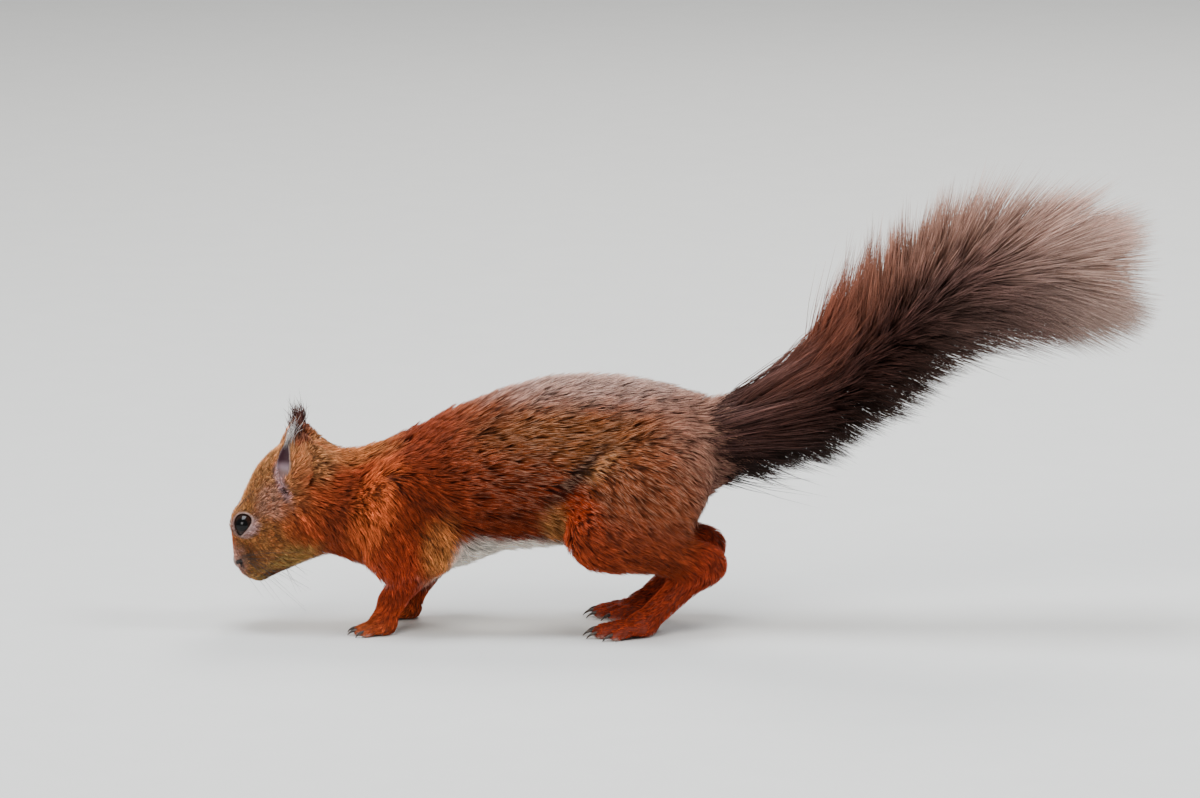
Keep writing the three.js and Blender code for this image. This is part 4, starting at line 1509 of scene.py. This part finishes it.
    def build(self, outer: Anatomy, share: float, finish: bpy.types.Material) -> list[bpy.types.Object]:
        """Makes the brush in equal pieces along the tail.

        Args:
            outer: The coat's outer form.
            share: The share of the tufts to make.
            finish: The material.

        Returns:
            The pieces, from the base out.
        """
        locks, s = self.grow(outer, share)
        names = ("base", "middle", "tip")
        edges = np.quantile(s, np.linspace(0, 1, self.pieces + 1))
        made = []
        for i, name in enumerate(names):
            chosen = (s >= edges[i]) & ((s < edges[i + 1]) | (i == self.pieces - 1))
            ends, _, _ = self.line(np.array([edges[i], edges[i + 1]]))
            unwrap = Unwrap(tuple(ends[0] - (0, 3, 0)), tuple(ends[1] + (0, 3, 0)))
            made.append(report(locks.take(chosen).shell(3, unwrap).build(f"brush_{name}", finish), "brush"))
        return made


@dataclass(frozen=True)
class EarTuft:
    """The long hair of an ear: the dark wisps on its tip, and the pale hairs that fan up its front.

    A turn is the direction round the ear in which a hair is rooted: 0 is outwards, and a quarter turn less is
    ahead.
    """

    dark: int = 150
    pale: int = 60
    width: float = 0.19
    dark_peak: Point = (16.8, -154.2, 86.4)
    pale_peak: Point = (17.4, -153.8, 85.5)

    def grow(self, side: str) -> Locks:
        """Grows the tufts of one ear.

        Args:
            side: Left or right.

        Returns:
            The tufts.
        """
        rng = np.random.default_rng(7 if side == "left" else 8)
        spoon = Spoon(EAR, side)
        count = self.dark + self.pale
        pale = np.arange(count) < self.pale
        along = np.where(pale, rng.uniform(0.36, 0.72, count), rng.uniform(0.74, 0.98, count))
        turn = np.where(pale, rng.normal(-0.85, 0.35, count), rng.uniform(-math.pi, math.pi, count))
        out = np.stack([np.cos(turn) * SIDES[side], np.sin(turn), 0 * turn], 1)
        share = np.hypot(out @ spoon.aside / spoon.width, out @ spoon.front / spoon.depth)
        radius = (1 - spoon.taper * along) * np.sqrt(1 - along**2) / share
        root = spoon.centre + spoon.up * (along * spoon.long)[:, None] + out * (radius + 0.1)[:, None]
        peaks = (np.array(on_side(peak, side)) for peak in (self.pale_peak, self.dark_peak))
        goal = np.where(pale[:, None], *peaks)
        goal = goal + rng.normal(size=(count, 3)) * np.where(pale[:, None], (0.8, 2.6, 1.6), (1.0, 2.9, 2.2))
        size = rng.uniform(0.55, 1.05, count)[:, None]
        tip = root + (goal - root) * size
        bend = root + (goal - root) * size * 0.5 + out * 0.9 + spoon.up * 0.8
        tint = np.where(pale[:, None], Tint.SILVER.rgb, Tint.UMBER.rgb * 0.7)
        tint = tint * rng.uniform(0.7, 1.3, (count, 1))
        width = self.width * rng.uniform(0.7, 1.2, count) * np.where(pale, 0.6, 1)
        locks = Locks(root, bend, tip, out, width, tint, np.zeros(count), rng.uniform(size=count))
        locks.gather(np.where(pale, 0.1, 0.45), 7, 0.1, rng)
        return locks

    def build(self, finish: bpy.types.Material) -> list[bpy.types.Object]:
        """Makes the tufts of both ears.

        Args:
            finish: The material.

        Returns:
            The pieces.
        """
        made = []
        for side in SIDES:
            unwrap = Unwrap(on_side(EAR.root, side), on_side((17, -154, 92), side), (0, -1, 0))
            piece = report(self.grow(side).shell(3, unwrap).build(f"ear_hair_{side}", finish), "dark")
            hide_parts(f"ear_tuft_{side}")
            made.append(piece)
        return made


# ---------------------------------------------------------------- finishes


class Wire:
    """A value in a shader, which can be reckoned with as numbers are."""

    def __init__(self, shader: Shader, socket: bpy.types.NodeSocket) -> None:
        """Takes the shader it belongs to and the socket it comes from."""
        self.shader, self.socket = shader, socket

    def __add__(self, other: Wire | float) -> Wire:
        """The sum."""
        return self.shader.maths("ADD", self, other)

    __radd__ = __add__

    def __rsub__(self, other: Wire | float) -> Wire:
        """The difference from a number."""
        return self.shader.maths("SUBTRACT", other, self)

    def __mul__(self, other: Wire | float) -> Wire:
        """The product."""
        return self.shader.maths("MULTIPLY", self, other)

    __rmul__ = __mul__


class Shader:
    """A material's nodes, built round one Principled shader."""

    def __init__(self, name: str) -> None:
        """Starts an empty material."""
        self.material = bpy.data.materials.new(name)
        self.material.use_nodes = True
        self.tree = self.material.node_tree
        self.tree.nodes.clear()
        self.surface = self.node("ShaderNodeBsdfPrincipled")
        output = self.node("ShaderNodeOutputMaterial")
        self.tree.links.new(self.surface.outputs["BSDF"], output.inputs["Surface"])

    def node(self, kind: str, inputs: dict[str | int, object] | None = None,
             **settings: object) -> bpy.types.Node:
        """Adds a node.

        Args:
            kind: The node's type.
            inputs: Values or wires for its sockets, by name or number.
            settings: Its own properties.

        Returns:
            The node.
        """
        made = self.tree.nodes.new(kind)
        for key, value in settings.items():
            setattr(made, key, value)
        for key, value in (inputs or {}).items():
            if isinstance(value, Wire):
                self.tree.links.new(value.socket, made.inputs[key])
            else:
                made.inputs[key].default_value = value
        return made

    def maths(self, operation: str, first: Wire | float, second: Wire | float) -> Wire:
        """A number worked out from two."""
        made = self.node("ShaderNodeMath", {0: first, 1: second}, operation=operation)
        return Wire(self, made.outputs[0])

    def attribute(self, name: str, colour: bool = False) -> Wire:
        """A value held on the mesh."""
        made = self.node("ShaderNodeAttribute", attribute_name=name, attribute_type="GEOMETRY")
        return Wire(self, made.outputs["Color" if colour else "Fac"])

    def place(self) -> Wire:
        """The place on the object."""
        return Wire(self, self.node("ShaderNodeTexCoord").outputs["Object"])

    def noise(self, where: Wire, scale: float, detail: float = 2.0) -> Wire:
        """A smooth chance pattern, from 0 to 1."""
        made = self.node("ShaderNodeTexNoise", {"Vector": where, "Scale": scale, "Detail": detail})
        return Wire(self, made.outputs["Fac"])

    def scaled(self, colour: Wire, factor: Wire | float) -> Wire:
        """A colour made lighter or darker."""
        made = self.node("ShaderNodeVectorMath", {0: colour, "Scale": factor}, operation="SCALE")
        return Wire(self, made.outputs["Vector"])

    def mixed(self, first: Wire | tuple, second: Wire | tuple, share: Wire | float) -> Wire:
        """Mixes two colours.

        Args:
            first: The colour at 0.
            second: The colour at 1.
            share: How much of the second colour there is.

        Returns:
            The colour between them.
        """
        made = self.node("ShaderNodeMix", data_type="RGBA", clamp_factor=True)
        ends = {"Factor_Float": share, "A_Color": first, "B_Color": second}
        for socket in made.inputs:
            value = ends.get(socket.identifier)
            if isinstance(value, Wire):
                self.tree.links.new(value.socket, socket)
            elif value is not None:
                socket.default_value = value
        outputs = {socket.identifier: socket for socket in made.outputs}
        return Wire(self, outputs["Result_Color"])

    def step(self, value: Wire, low: float, high: float) -> Wire:
        """A smooth step from 0 to 1."""
        made = self.node("ShaderNodeMapRange", {"Value": value, "From Min": low, "From Max": high},
                         interpolation_type="SMOOTHSTEP")
        return Wire(self, made.outputs["Result"])

    def bumped(self, height: Wire, strength: float, distance: float) -> None:
        """Sets the surface's bump."""
        made = self.node("ShaderNodeBump", {"Height": height, "Strength": strength, "Distance": distance})
        self.tree.links.new(made.outputs["Normal"], self.surface.inputs["Normal"])

    def set(self, **values: object) -> bpy.types.Material:
        """Sets the surface's sockets, by name with underscores for spaces, and gives the material."""
        for key, value in values.items():
            socket = self.surface.inputs[key.replace("_", " ")]
            if isinstance(value, Wire):
                self.tree.links.new(value.socket, socket)
            else:
                socket.default_value = value
        return self.material


def clear(colour: Array, alpha: float = 1.0) -> tuple[float, float, float, float]:
    """A colour as a socket takes it."""
    return float(colour[0]), float(colour[1]), float(colour[2]), alpha


@dataclass(frozen=True)
class FurFinish:
    """Hair: darker at the root, partly the underfur's own colour and partly painted shade deep in the coat,
    lighter towards the tip, each tuft a little unlike the next.
    """

    name: str = "fur"
    root_shade: float = 0.28
    tip_shade: float = 0.85
    tip_gain: float = 1.1
    roughness: float = 0.6
    band: Array = field(default_factory=lambda: paint("#d0a588"))

    def material(self) -> bpy.types.Material:
        """Makes the material."""
        shader = Shader(self.name)
        along, chance = shader.attribute("along"), shader.attribute("chance")
        tint = shader.attribute("tint", colour=True)
        # The root's darkness is partly the underfur's own colour and partly painted shade deep in the coat.
        rising = shader.step(along, 0.0, 0.8)
        shade = self.root_shade + rising * (self.tip_shade + self.tip_gain * chance * chance)
        colour = shader.scaled(tint, shade)
        ringed = shader.step(along, 0.45, 0.7) * shader.step(along, 1.02, 0.85)
        ringed = ringed * shader.step(chance, 0.45, 0.8)
        colour = shader.mixed(colour, clear(self.band), ringed * shader.attribute("agouti") * 0.45)
        return shader.set(Base_Color=colour, Roughness=self.roughness, Specular_IOR_Level=0.12)


@dataclass(frozen=True)
class SkinFinish:
    """Skin under fur: its marking's colour, darkened as painted shade under the coat, with fine hair as
    grain, and bare where nothing grows.
    """

    name: str = "skin"
    roughness: float = 0.75
    bare_roughness: float = 0.42

    def material(self) -> bpy.types.Material:
        """Makes the material."""
        shader = Shader(self.name)
        where = shader.place()
        fine, broad = shader.noise(where, 2600.0, 3.0), shader.noise(where, 500.0)
        bare = shader.attribute("bare")
        tint = shader.attribute("tint", colour=True)
        # Where fur grows the skin is drawn darker than its tint: painted shade under the coat, with grain.
        shaded_furred = shader.scaled(tint, 0.2 + 0.4 * fine + 0.2 * broad)
        smooth = shader.scaled(tint, 0.8 + 0.3 * broad)
        colour = shader.mixed(shaded_furred, smooth, bare)
        shader.bumped(fine * (1.4 - bare) + broad * 0.5, 0.5, 0.00025)
        rough = self.roughness + (self.bare_roughness - self.roughness) * bare
        return shader.set(Base_Color=colour, Roughness=rough, Specular_IOR_Level=0.35)


@dataclass(frozen=True)
class HornFinish:
    """Claws and whiskers: dark horn, paler towards the root."""

    name: str = "horn"
    root: Array = field(default_factory=lambda: paint("#4b3a30"))
    tip: Array = field(default_factory=lambda: paint("#17110f"))
    roughness: float = 0.35

    def material(self) -> bpy.types.Material:
        """Makes the material."""
        shader = Shader(self.name)
        grain = shader.noise(shader.place(), 900.0, 2.0)
        colour = shader.mixed(clear(self.root), clear(self.tip), shader.step(grain, 0.3, 0.7))
        shader.bumped(grain, 0.25, 0.0001)
        return shader.set(Base_Color=colour, Roughness=self.roughness + 0.15 * grain)


@dataclass(frozen=True)
class EyeFinish:
    """A wet dark eye: a black pupil in an iris that is nearly as dark."""

    name: str = "eye"
    iris: Array = field(default_factory=lambda: paint("#24130c"))
    pupil: Array = field(default_factory=lambda: paint("#050404"))

    def material(self) -> bpy.types.Material:
        """Makes the material."""
        shader = Shader(self.name)
        streaks = shader.noise(shader.place(), 1400.0, 3.0)
        ring = shader.step(shader.attribute("ring") + 0.08 * streaks, 0.52, 0.66)
        colour = shader.mixed(clear(self.pupil), clear(self.iris), ring * (0.5 + 0.7 * streaks))
        return shader.set(Base_Color=colour, Roughness=0.05, Specular_IOR_Level=0.2)


@dataclass(frozen=True)
class FloorFinish:
    """A plain pale floor with a faint grain."""

    name: str = "floor"
    colour: Array = field(default_factory=lambda: paint("#e4e3df"))

    def material(self) -> bpy.types.Material:
        """Makes the material."""
        shader = Shader(self.name)
        grain = shader.noise(shader.place(), 40.0, 2.0)
        paler = clear(np.minimum(self.colour * 1.05, 1))
        return shader.set(Base_Color=shader.mixed(clear(self.colour), paler, grain), Roughness=0.85)


# ---------------------------------------------------------------- sub-assemblies


def report(piece: bpy.types.Object, slot: str) -> bpy.types.Object:
    """Sets a piece on the body and logs its size."""
    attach(piece, "root")
    mesh = piece.data
    mesh.calc_loop_triangles()
    LOG.info("%s: %d triangles", piece.name, len(mesh.loop_triangles))
    return piece


@dataclass
class Skin:
    """The one skin of the animal, which stands for every sub-part of flesh."""

    kept_apart: tuple[str, ...] = ("eye_left", "eye_right", "ear_tuft_left", "ear_tuft_right")
    lowest: float = 0.02

    def bare(self, points: Array) -> Array:
        """How bare the skin is at each point: the nose, lids, ear's bowl and soles."""
        bare = rise(Ball(NOSE.pad, (3.5, 2.8, 2.8), HEAD_PITCH).at(points), 0.7, 0.1)
        for side in SIDES:
            slit, out = Slit(EYE, side).share(*points.T)
            bare = np.maximum(bare, np.where(out > 0, rise(slit, 1.24, 1.1), 0))
            bare = np.maximum(bare, 0.8 * rise(Spoon.bowl(EAR, side).at(points), 0.7, 0.2))
        return np.maximum(bare, rise(points[:, 2], 1.6, 0.9))

    def tints(self, head: Anatomy, points: Array, colour: Array, bare: Array) -> Array:
        """Colours the skin: the coat's markings, flesh where it is bare, and painted shade in the nostrils.

        Args:
            head: The body, for its nostrils.
            points: Places in millimetres, one in each row.
            colour: The markings' colour there.
            bare: How bare the skin is there.

        Returns:
            The colours.
        """
        def over(share: Array, code: str) -> Array:
            """The colour with another laid over it."""
            return colour * (1 - share[:, None]) + paint(code) * share[:, None]

        colour = over(bare, "#94766d")
        for side in SIDES:
            slit, out = Slit(EYE, side).share(*points.T)
            colour = over(np.where(out > 0, rise(slit, 1.12, 1.0), 0), "#2b1a17")
            bowl = Spoon.bowl(EAR, side)
            depth, (along,) = bowl.at(points), bowl.along(*points.T, bowl.up)
            within = rise(depth, 0.6, 0.15)
            colour = over(rise(depth, 1.3, 0.6) * (1 - within), "#d0aa96")
            colour = over(within, "#8c6c68")
            colour = over(within * rise(along, -5.4, -3.6), "#9e858e")
            # Painted shade: the nostril holes are drawn near black.
            colour = over(rise(head.nostril_hole(side).at(points), 0.7, 0.2), "#1d100f")
            colour = over(within * rise(along, -3.6, -0.6), "#452730")
        return colour

    def build(self, coat: Coat, lattice: Lattice, nodes: Iterable[str]) -> tuple[Shell, Array]:
        """Makes the skin.

        Args:
            coat: The coat, whose markings the skin carries.
            lattice: The grid on which it is meshed.
            nodes: The names of the part's nodes, of which it stands for those of flesh.

        Returns:
            The skin's surface and its normals.
        """
        body = Anatomy(1.0)
        form = body.whole
        shell = lattice.mesh(form)
        _, gradient = form.slope(shell.points)
        shell.points[:, 2] = np.maximum(shell.points[:, 2], self.lowest)
        bare = self.bare(shell.points)
        colour = coat.tints(shell.points, coat.weigh(shell.points))
        tail = rise(shell.points[:, 1], 12, 30)[:, None]
        end = 0.6 * rise(shell.points[:, 1], 105, 165)[:, None]
        colour = colour * (1 - tail) + (Tint.SOOT.rgb * (1 - end) + Tint.DUSK.rgb * end) * tail
        shell.values = {"tint": self.tints(body, shell.points, colour, bare), "bare": bare}
        piece = report(shell.build("skin", SkinFinish().material()), "russet")
        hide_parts(*(name for name in nodes if name not in self.kept_apart))
        return shell, unit(gradient)


@dataclass
class Eyes:
    """The two eyeballs, each with a slight cornea."""

    rings: int = 48
    segments: int = 64
    cornea: float = 0.35

    def build(self) -> list[bpy.types.Object]:
        """Makes both eyes."""
        finish = EyeFinish().material()
        return [self.eyeball(side, finish) for side in SIDES]

    def eyeball(self, side: str, finish: bpy.types.Material) -> bpy.types.Object:
        """Makes one eye, round the way that it looks.

        Args:
            side: Left or right.
            finish: The material.

        Returns:
            The eyeball.
        """
        out = unit(np.array(on_side(EYE.looks, side)))
        aside = unit(np.cross(out, (0, 0, 1)))
        above = np.cross(aside, out)
        turn = np.linspace(0, math.pi, self.rings + 1)[1:-1]
        round_ = np.linspace(0, 2 * math.pi, self.segments, endpoint=False)
        tilt, spin = np.meshgrid(turn, round_, indexing="ij")
        bulge = EYE.radius + self.cornea * rise(tilt, 0.75, 0.0)
        flat = np.stack([np.cos(tilt) * bulge, np.sin(tilt) * np.cos(spin) * bulge,
                         np.sin(tilt) * np.sin(spin) * bulge], -1).reshape(-1, 3)
        poles = np.array([[EYE.radius + self.cornea, 0, 0], [-EYE.radius, 0, 0]])
        local = np.concatenate([flat, poles])
        points = np.array(EYE.centre(side)) + local @ np.stack([out, aside, above])
        faces = self.faces(len(turn))
        ring = np.concatenate([tilt.ravel(), [0, math.pi]])
        piece = Shell(points, faces, {"ring": ring}).build(f"eyeball_{side}", finish)
        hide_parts(f"eye_{side}")
        return report(piece, "eye")

    def faces(self, rows: int) -> Array:
        """Lays triangles between the rings and to the poles.

        Args:
            rows: How many rings there are.

        Returns:
            The triangles, which face out.
        """
        n, made = self.segments, []
        for r in range(rows - 1):
            for c in range(n):
                a, b = r * n + c, r * n + (c + 1) % n
                made += [(a, a + n, b + n), (a, b + n, b)]
        top, bottom = rows * n, rows * n + 1
        for c in range(n):
            d = (c + 1) % n
            made.append((top, c, d))
            made.append((bottom, (rows - 1) * n + d, (rows - 1) * n + c))
        return np.array(made)


class Sweep:
    """A geometry node tree that lays a tapering round rod along each path of edges."""

    def __init__(self, name: str) -> None:
        """Makes the tree and its sockets."""
        self.tree = bpy.data.node_groups.new(name, "GeometryNodeTree")
        self.sockets: dict[str, str] = {}
        self.socket("Paths", "NodeSocketGeometry")
        for label in ("Root radius", "Tip radius"):
            self.socket(label, "NodeSocketFloat")
        self.socket("Sides", "NodeSocketInt")
        self.socket("Stops", "NodeSocketInt")
        self.socket("Finish", "NodeSocketMaterial")
        self.tree.interface.new_socket("Rods", in_out="OUTPUT", socket_type="NodeSocketGeometry")
        self.wire()

    def socket(self, label: str, kind: str) -> None:
        """Adds an input and keeps its identifier."""
        made = self.tree.interface.new_socket(label, in_out="INPUT", socket_type=kind)
        self.sockets[label] = made.identifier

    def node(self, kind: str, **links: bpy.types.NodeSocket) -> bpy.types.Node:
        """Adds a node and links its inputs, by name with underscores for spaces."""
        made = self.tree.nodes.new(kind)
        for key, source in links.items():
            self.tree.links.new(source, made.inputs[key.replace("_", " ")])
        return made

    def wire(self) -> None:
        """Joins the tree's nodes up."""
        given = self.tree.nodes.new("NodeGroupInput").outputs
        curve = self.node("GeometryNodeMeshToCurve", Mesh=given["Paths"])
        even = self.node("GeometryNodeResampleCurve", Curve=curve.outputs["Curve"], Count=given["Stops"])
        factor = self.node("GeometryNodeSplineParameter").outputs["Factor"]
        taper = self.node("ShaderNodeMapRange", Value=factor, To_Min=given["Root radius"],
                          To_Max=given["Tip radius"])
        sized = self.node("GeometryNodeSetCurveRadius", Curve=even.outputs["Curve"],
                          Radius=taper.outputs["Result"])
        ring = self.node("GeometryNodeCurvePrimitiveCircle", Resolution=given["Sides"])
        ring.inputs["Radius"].default_value = 1.0
        swept = self.node("GeometryNodeCurveToMesh", Curve=sized.outputs["Curve"],
                          Profile_Curve=ring.outputs["Curve"])
        swept.inputs["Fill Caps"].default_value = True
        radius = self.node("GeometryNodeInputRadius").outputs["Radius"]
        self.tree.links.new(radius, swept.inputs["Scale"])
        smooth = self.node("GeometryNodeSetShadeSmooth", Geometry=swept.outputs["Mesh"])
        real = self.node("GeometryNodeRealizeInstances", Geometry=smooth.outputs["Geometry"])
        done = self.node("GeometryNodeSetMaterial", Geometry=real.outputs["Geometry"],
                         Material=given["Finish"])
        self.node("NodeGroupOutput", Rods=done.outputs["Geometry"])

    def run(self, name: str, paths: list[Array], finish: bpy.types.Material,
            **sizes: float) -> bpy.types.Object:
        """Lays rods along paths, and keeps the plain mesh.

        Args:
            name: The piece's name.
            paths: The points of each path, in millimetres.
            finish: The rods' material.
            sizes: Values for the tree's other inputs, by label with underscores for spaces.

        Returns:
            The object.
        """
        mesh = bpy.data.meshes.new(name)
        points = np.concatenate(paths) / METRE
        starts = np.cumsum([0, *(len(p) for p in paths)])
        edges = [(a, a + 1) for s, e in zip(starts, starts[1:]) for a in range(s, e - 1)]
        mesh.from_pydata(points.tolist(), edges, [])
        made = linked(name, mesh)
        modifier = made.modifiers.new("sweep", "NODES")
        modifier.node_group = self.tree
        modifier[self.sockets["Finish"]] = finish
        for label, value in sizes.items():
            modifier[self.sockets[label.replace("_", " ")]] = value
        graph = bpy.context.evaluated_depsgraph_get()
        swept = bpy.data.meshes.new_from_object(made.evaluated_get(graph))
        made.modifiers.remove(modifier)
        made.data = swept
        return made


@dataclass
class Claws:
    """The claws: slim hooks that run on from each digit down to the ground."""

    root: float = 0.85
    tip: float = 0.16

    def paths(self) -> list[Array]:
        """Draws the line of each claw.

        Returns:
            The lines, from the root out.
        """
        lines = []
        for leg, kind in ((FORELEG, FINGERS), (HINDLEG, TOES)):
            for side in SIDES:
                for _, tip, way in digit_lines(leg, kind, side):
                    start = tip + way * (kind.radius * 0.35) + (0, 0, 0.55)
                    crest = tip + way * (kind.radius + kind.claw * 0.35) + (0, 0, 0.75)
                    end = tip + way * (kind.radius + kind.claw * 0.7)
                    end[2] = LOWEST
                    t = np.linspace(0, 1, 9)[:, None]
                    lines.append((1 - t) ** 2 * start + 2 * t * (1 - t) * crest + t * t * end)
        return lines

    def build(self, sweep: Sweep, finish: bpy.types.Material) -> bpy.types.Object:
        """Makes the claws."""
        made = sweep.run("claws", self.paths(), finish, Root_radius=self.root / METRE,
                         Tip_radius=self.tip / METRE, Sides=10, Stops=10)
        return report(made, "dark")


@dataclass
class Whiskers:
    """The whiskers: fans on the muzzle, and a few over the eyes and under the jaw."""

    rows: int = 4
    columns: int = 5
    long: float = 30.0
    radius: float = 0.085
    tip: float = 0.02
    seed: int = 23
    droop: Point = (0, 0.25, -0.3)

    def paths(self, skin: Form) -> list[Array]:
        """Draws the line of each whisker.

        Args:
            skin: The skin's form.

        Returns:
            The lines, from the root out.
        """
        rng = np.random.default_rng(self.seed)
        lines = []
        for sign in SIDES.values():
            spots = [(in_head(5.0 + 1.5 * c, -0.6 - 1.3 * r, (4.2 + 0.3 * c) * sign),
                      self.long * (0.55 + 0.11 * c), (0.75, 0.62 + 0.05 * c, 0.35 - 0.3 * r))
                     for r in range(self.rows) for c in range(self.columns)]
            spots += [(in_head(15 + 2 * c, 15.5, 6.0 * sign), 16.0, (0.45, 0.45, 0.75)) for c in range(3)]
            spots += [(in_head(17, -14, 8 * sign), 12.0, (0.7, 0.5, -0.4)) for c in range(2)]
            for spot, length, way in spots:
                start = skin.settle(np.array([spot]), 3)[0]
                ahead = unit(np.array([way[0] * sign, way[1], way[2]]) + 0.07 * rng.normal(size=3))
                t = np.linspace(0, 1, 10)[:, None]
                line = start + ahead * (t * length) + np.array(self.droop) * (t**2 * length * 0.4)
                line[:, 2] = np.maximum(line[:, 2], 2 * LOWEST)
                lines.append(line)
        return lines

    def build(self, sweep: Sweep, skin: Form, finish: bpy.types.Material) -> bpy.types.Object:
        """Makes the whiskers."""
        made = sweep.run("whiskers", self.paths(skin), finish, Root_radius=self.radius / METRE,
                         Tip_radius=self.tip / METRE, Sides=5, Stops=12)
        return report(made, "dark")


@dataclass
class Studio:
    """A plain pale floor under soft light, and the camera."""

    distance: float = 3.5
    elevation: float = 9.0
    azimuth: float = 90.0
    aim: Point = (0.0, -0.0353, 0.0905)
    lens: float = 267.75
    lit: Point = (0, 0, 0.06)
    wide: float = 9.0
    edges: int = 96
    lamps: tuple[tuple, ...] = (
        ("sky", (-0.02, -0.22, 1.5), 20, 0.7, (0.88, 0.94, 1.0)),
        ("key", (1.7, -0.7, 1.2), 31, 1.1, (1.0, 0.98, 0.95)),
        ("fill", (0.35, 1.3, 1.35), 18, 0.42, (0.9, 0.95, 1.0)),
        ("rim", (-1.6, 0.4, 1.6), 30, 1.0, (1.0, 0.98, 0.96)),
    )

    @staticmethod
    def aimed(name: str, data: bpy.types.ID, place: Vector, way: Vector) -> bpy.types.Object:
        """A new object at a place, turned to look along a way."""
        made = linked(name, data)
        made.location = place
        made.rotation_mode = "QUATERNION"
        made.rotation_quaternion = way.to_track_quat("-Z", "Y")
        return made

    def camera(self) -> None:
        """Sets the camera."""
        data = bpy.data.cameras.new("camera")
        data.lens, data.sensor_width = self.lens, 36.0
        data.clip_start, data.clip_end = 0.05, 60.0
        a, e = math.radians(self.azimuth), math.radians(self.elevation)
        back = Vector((math.sin(a) * math.cos(e), -math.cos(a) * math.cos(e), math.sin(e)))
        place = Vector(self.aim) + back * self.distance
        bpy.context.scene.camera = self.aimed("camera", data, place, -back)

    def lamp(self, name: str, place: Point, power: float, size: float, colour: Point) -> None:
        """Adds a soft square light that faces the animal."""
        data = bpy.data.lights.new(name, "AREA")
        data.energy, data.size, data.color = power, size, colour
        self.aimed(name, data, Vector(place), Vector(self.lit) - Vector(place))

    def floor(self) -> bpy.types.Object:
        """Makes a wide round floor."""
        turn = np.linspace(0, 2 * math.pi, self.edges, endpoint=False)
        rim = np.stack([np.cos(turn), np.sin(turn), 0 * turn], 1) * (self.wide * METRE)
        points = np.concatenate([rim, [[0, 0, 0]]])
        faces = np.array([(i, (i + 1) % self.edges, self.edges) for i in range(self.edges)])
        made = Shell(points, faces).build("floor", FloorFinish().material())
        return made

    def build(self) -> None:
        """Makes the floor, the lights, the surroundings and the camera."""
        self.floor()
        for settings in self.lamps:
            self.lamp(*settings)
        world = bpy.data.worlds.new("studio")
        bpy.context.scene.world = world
        world.use_nodes = True
        backdrop = world.node_tree.nodes["Background"]
        backdrop.inputs["Color"].default_value = clear(paint("#e9ecef"))
        backdrop.inputs["Strength"].default_value = 0.45
        self.camera()


def main() -> None:
    """Builds the squirrel, piece by piece."""
    logging.basicConfig(level=logging.INFO, format="%(message)s")
    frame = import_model()
    detail = Detail.FULL
    outer = Anatomy(0.0)
    coat = Coat(outer)
    shell, normals = Skin().build(coat, detail.lattice, frame["nodes"])
    fur = FurFinish().material()
    Pelt(shell, coat, normals, detail.share).build(fur)
    Brush().build(outer, detail.share, FurFinish("brush hair", root_shade=0.45).material())
    EarTuft().build(fur)
    Eyes().build()
    sweep, horn = Sweep("sweep along paths"), HornFinish().material()
    Claws().build(sweep, horn)
    Whiskers().build(sweep, outer.head, horn)
    Studio().build()


if __name__ == "__main__":
    main()
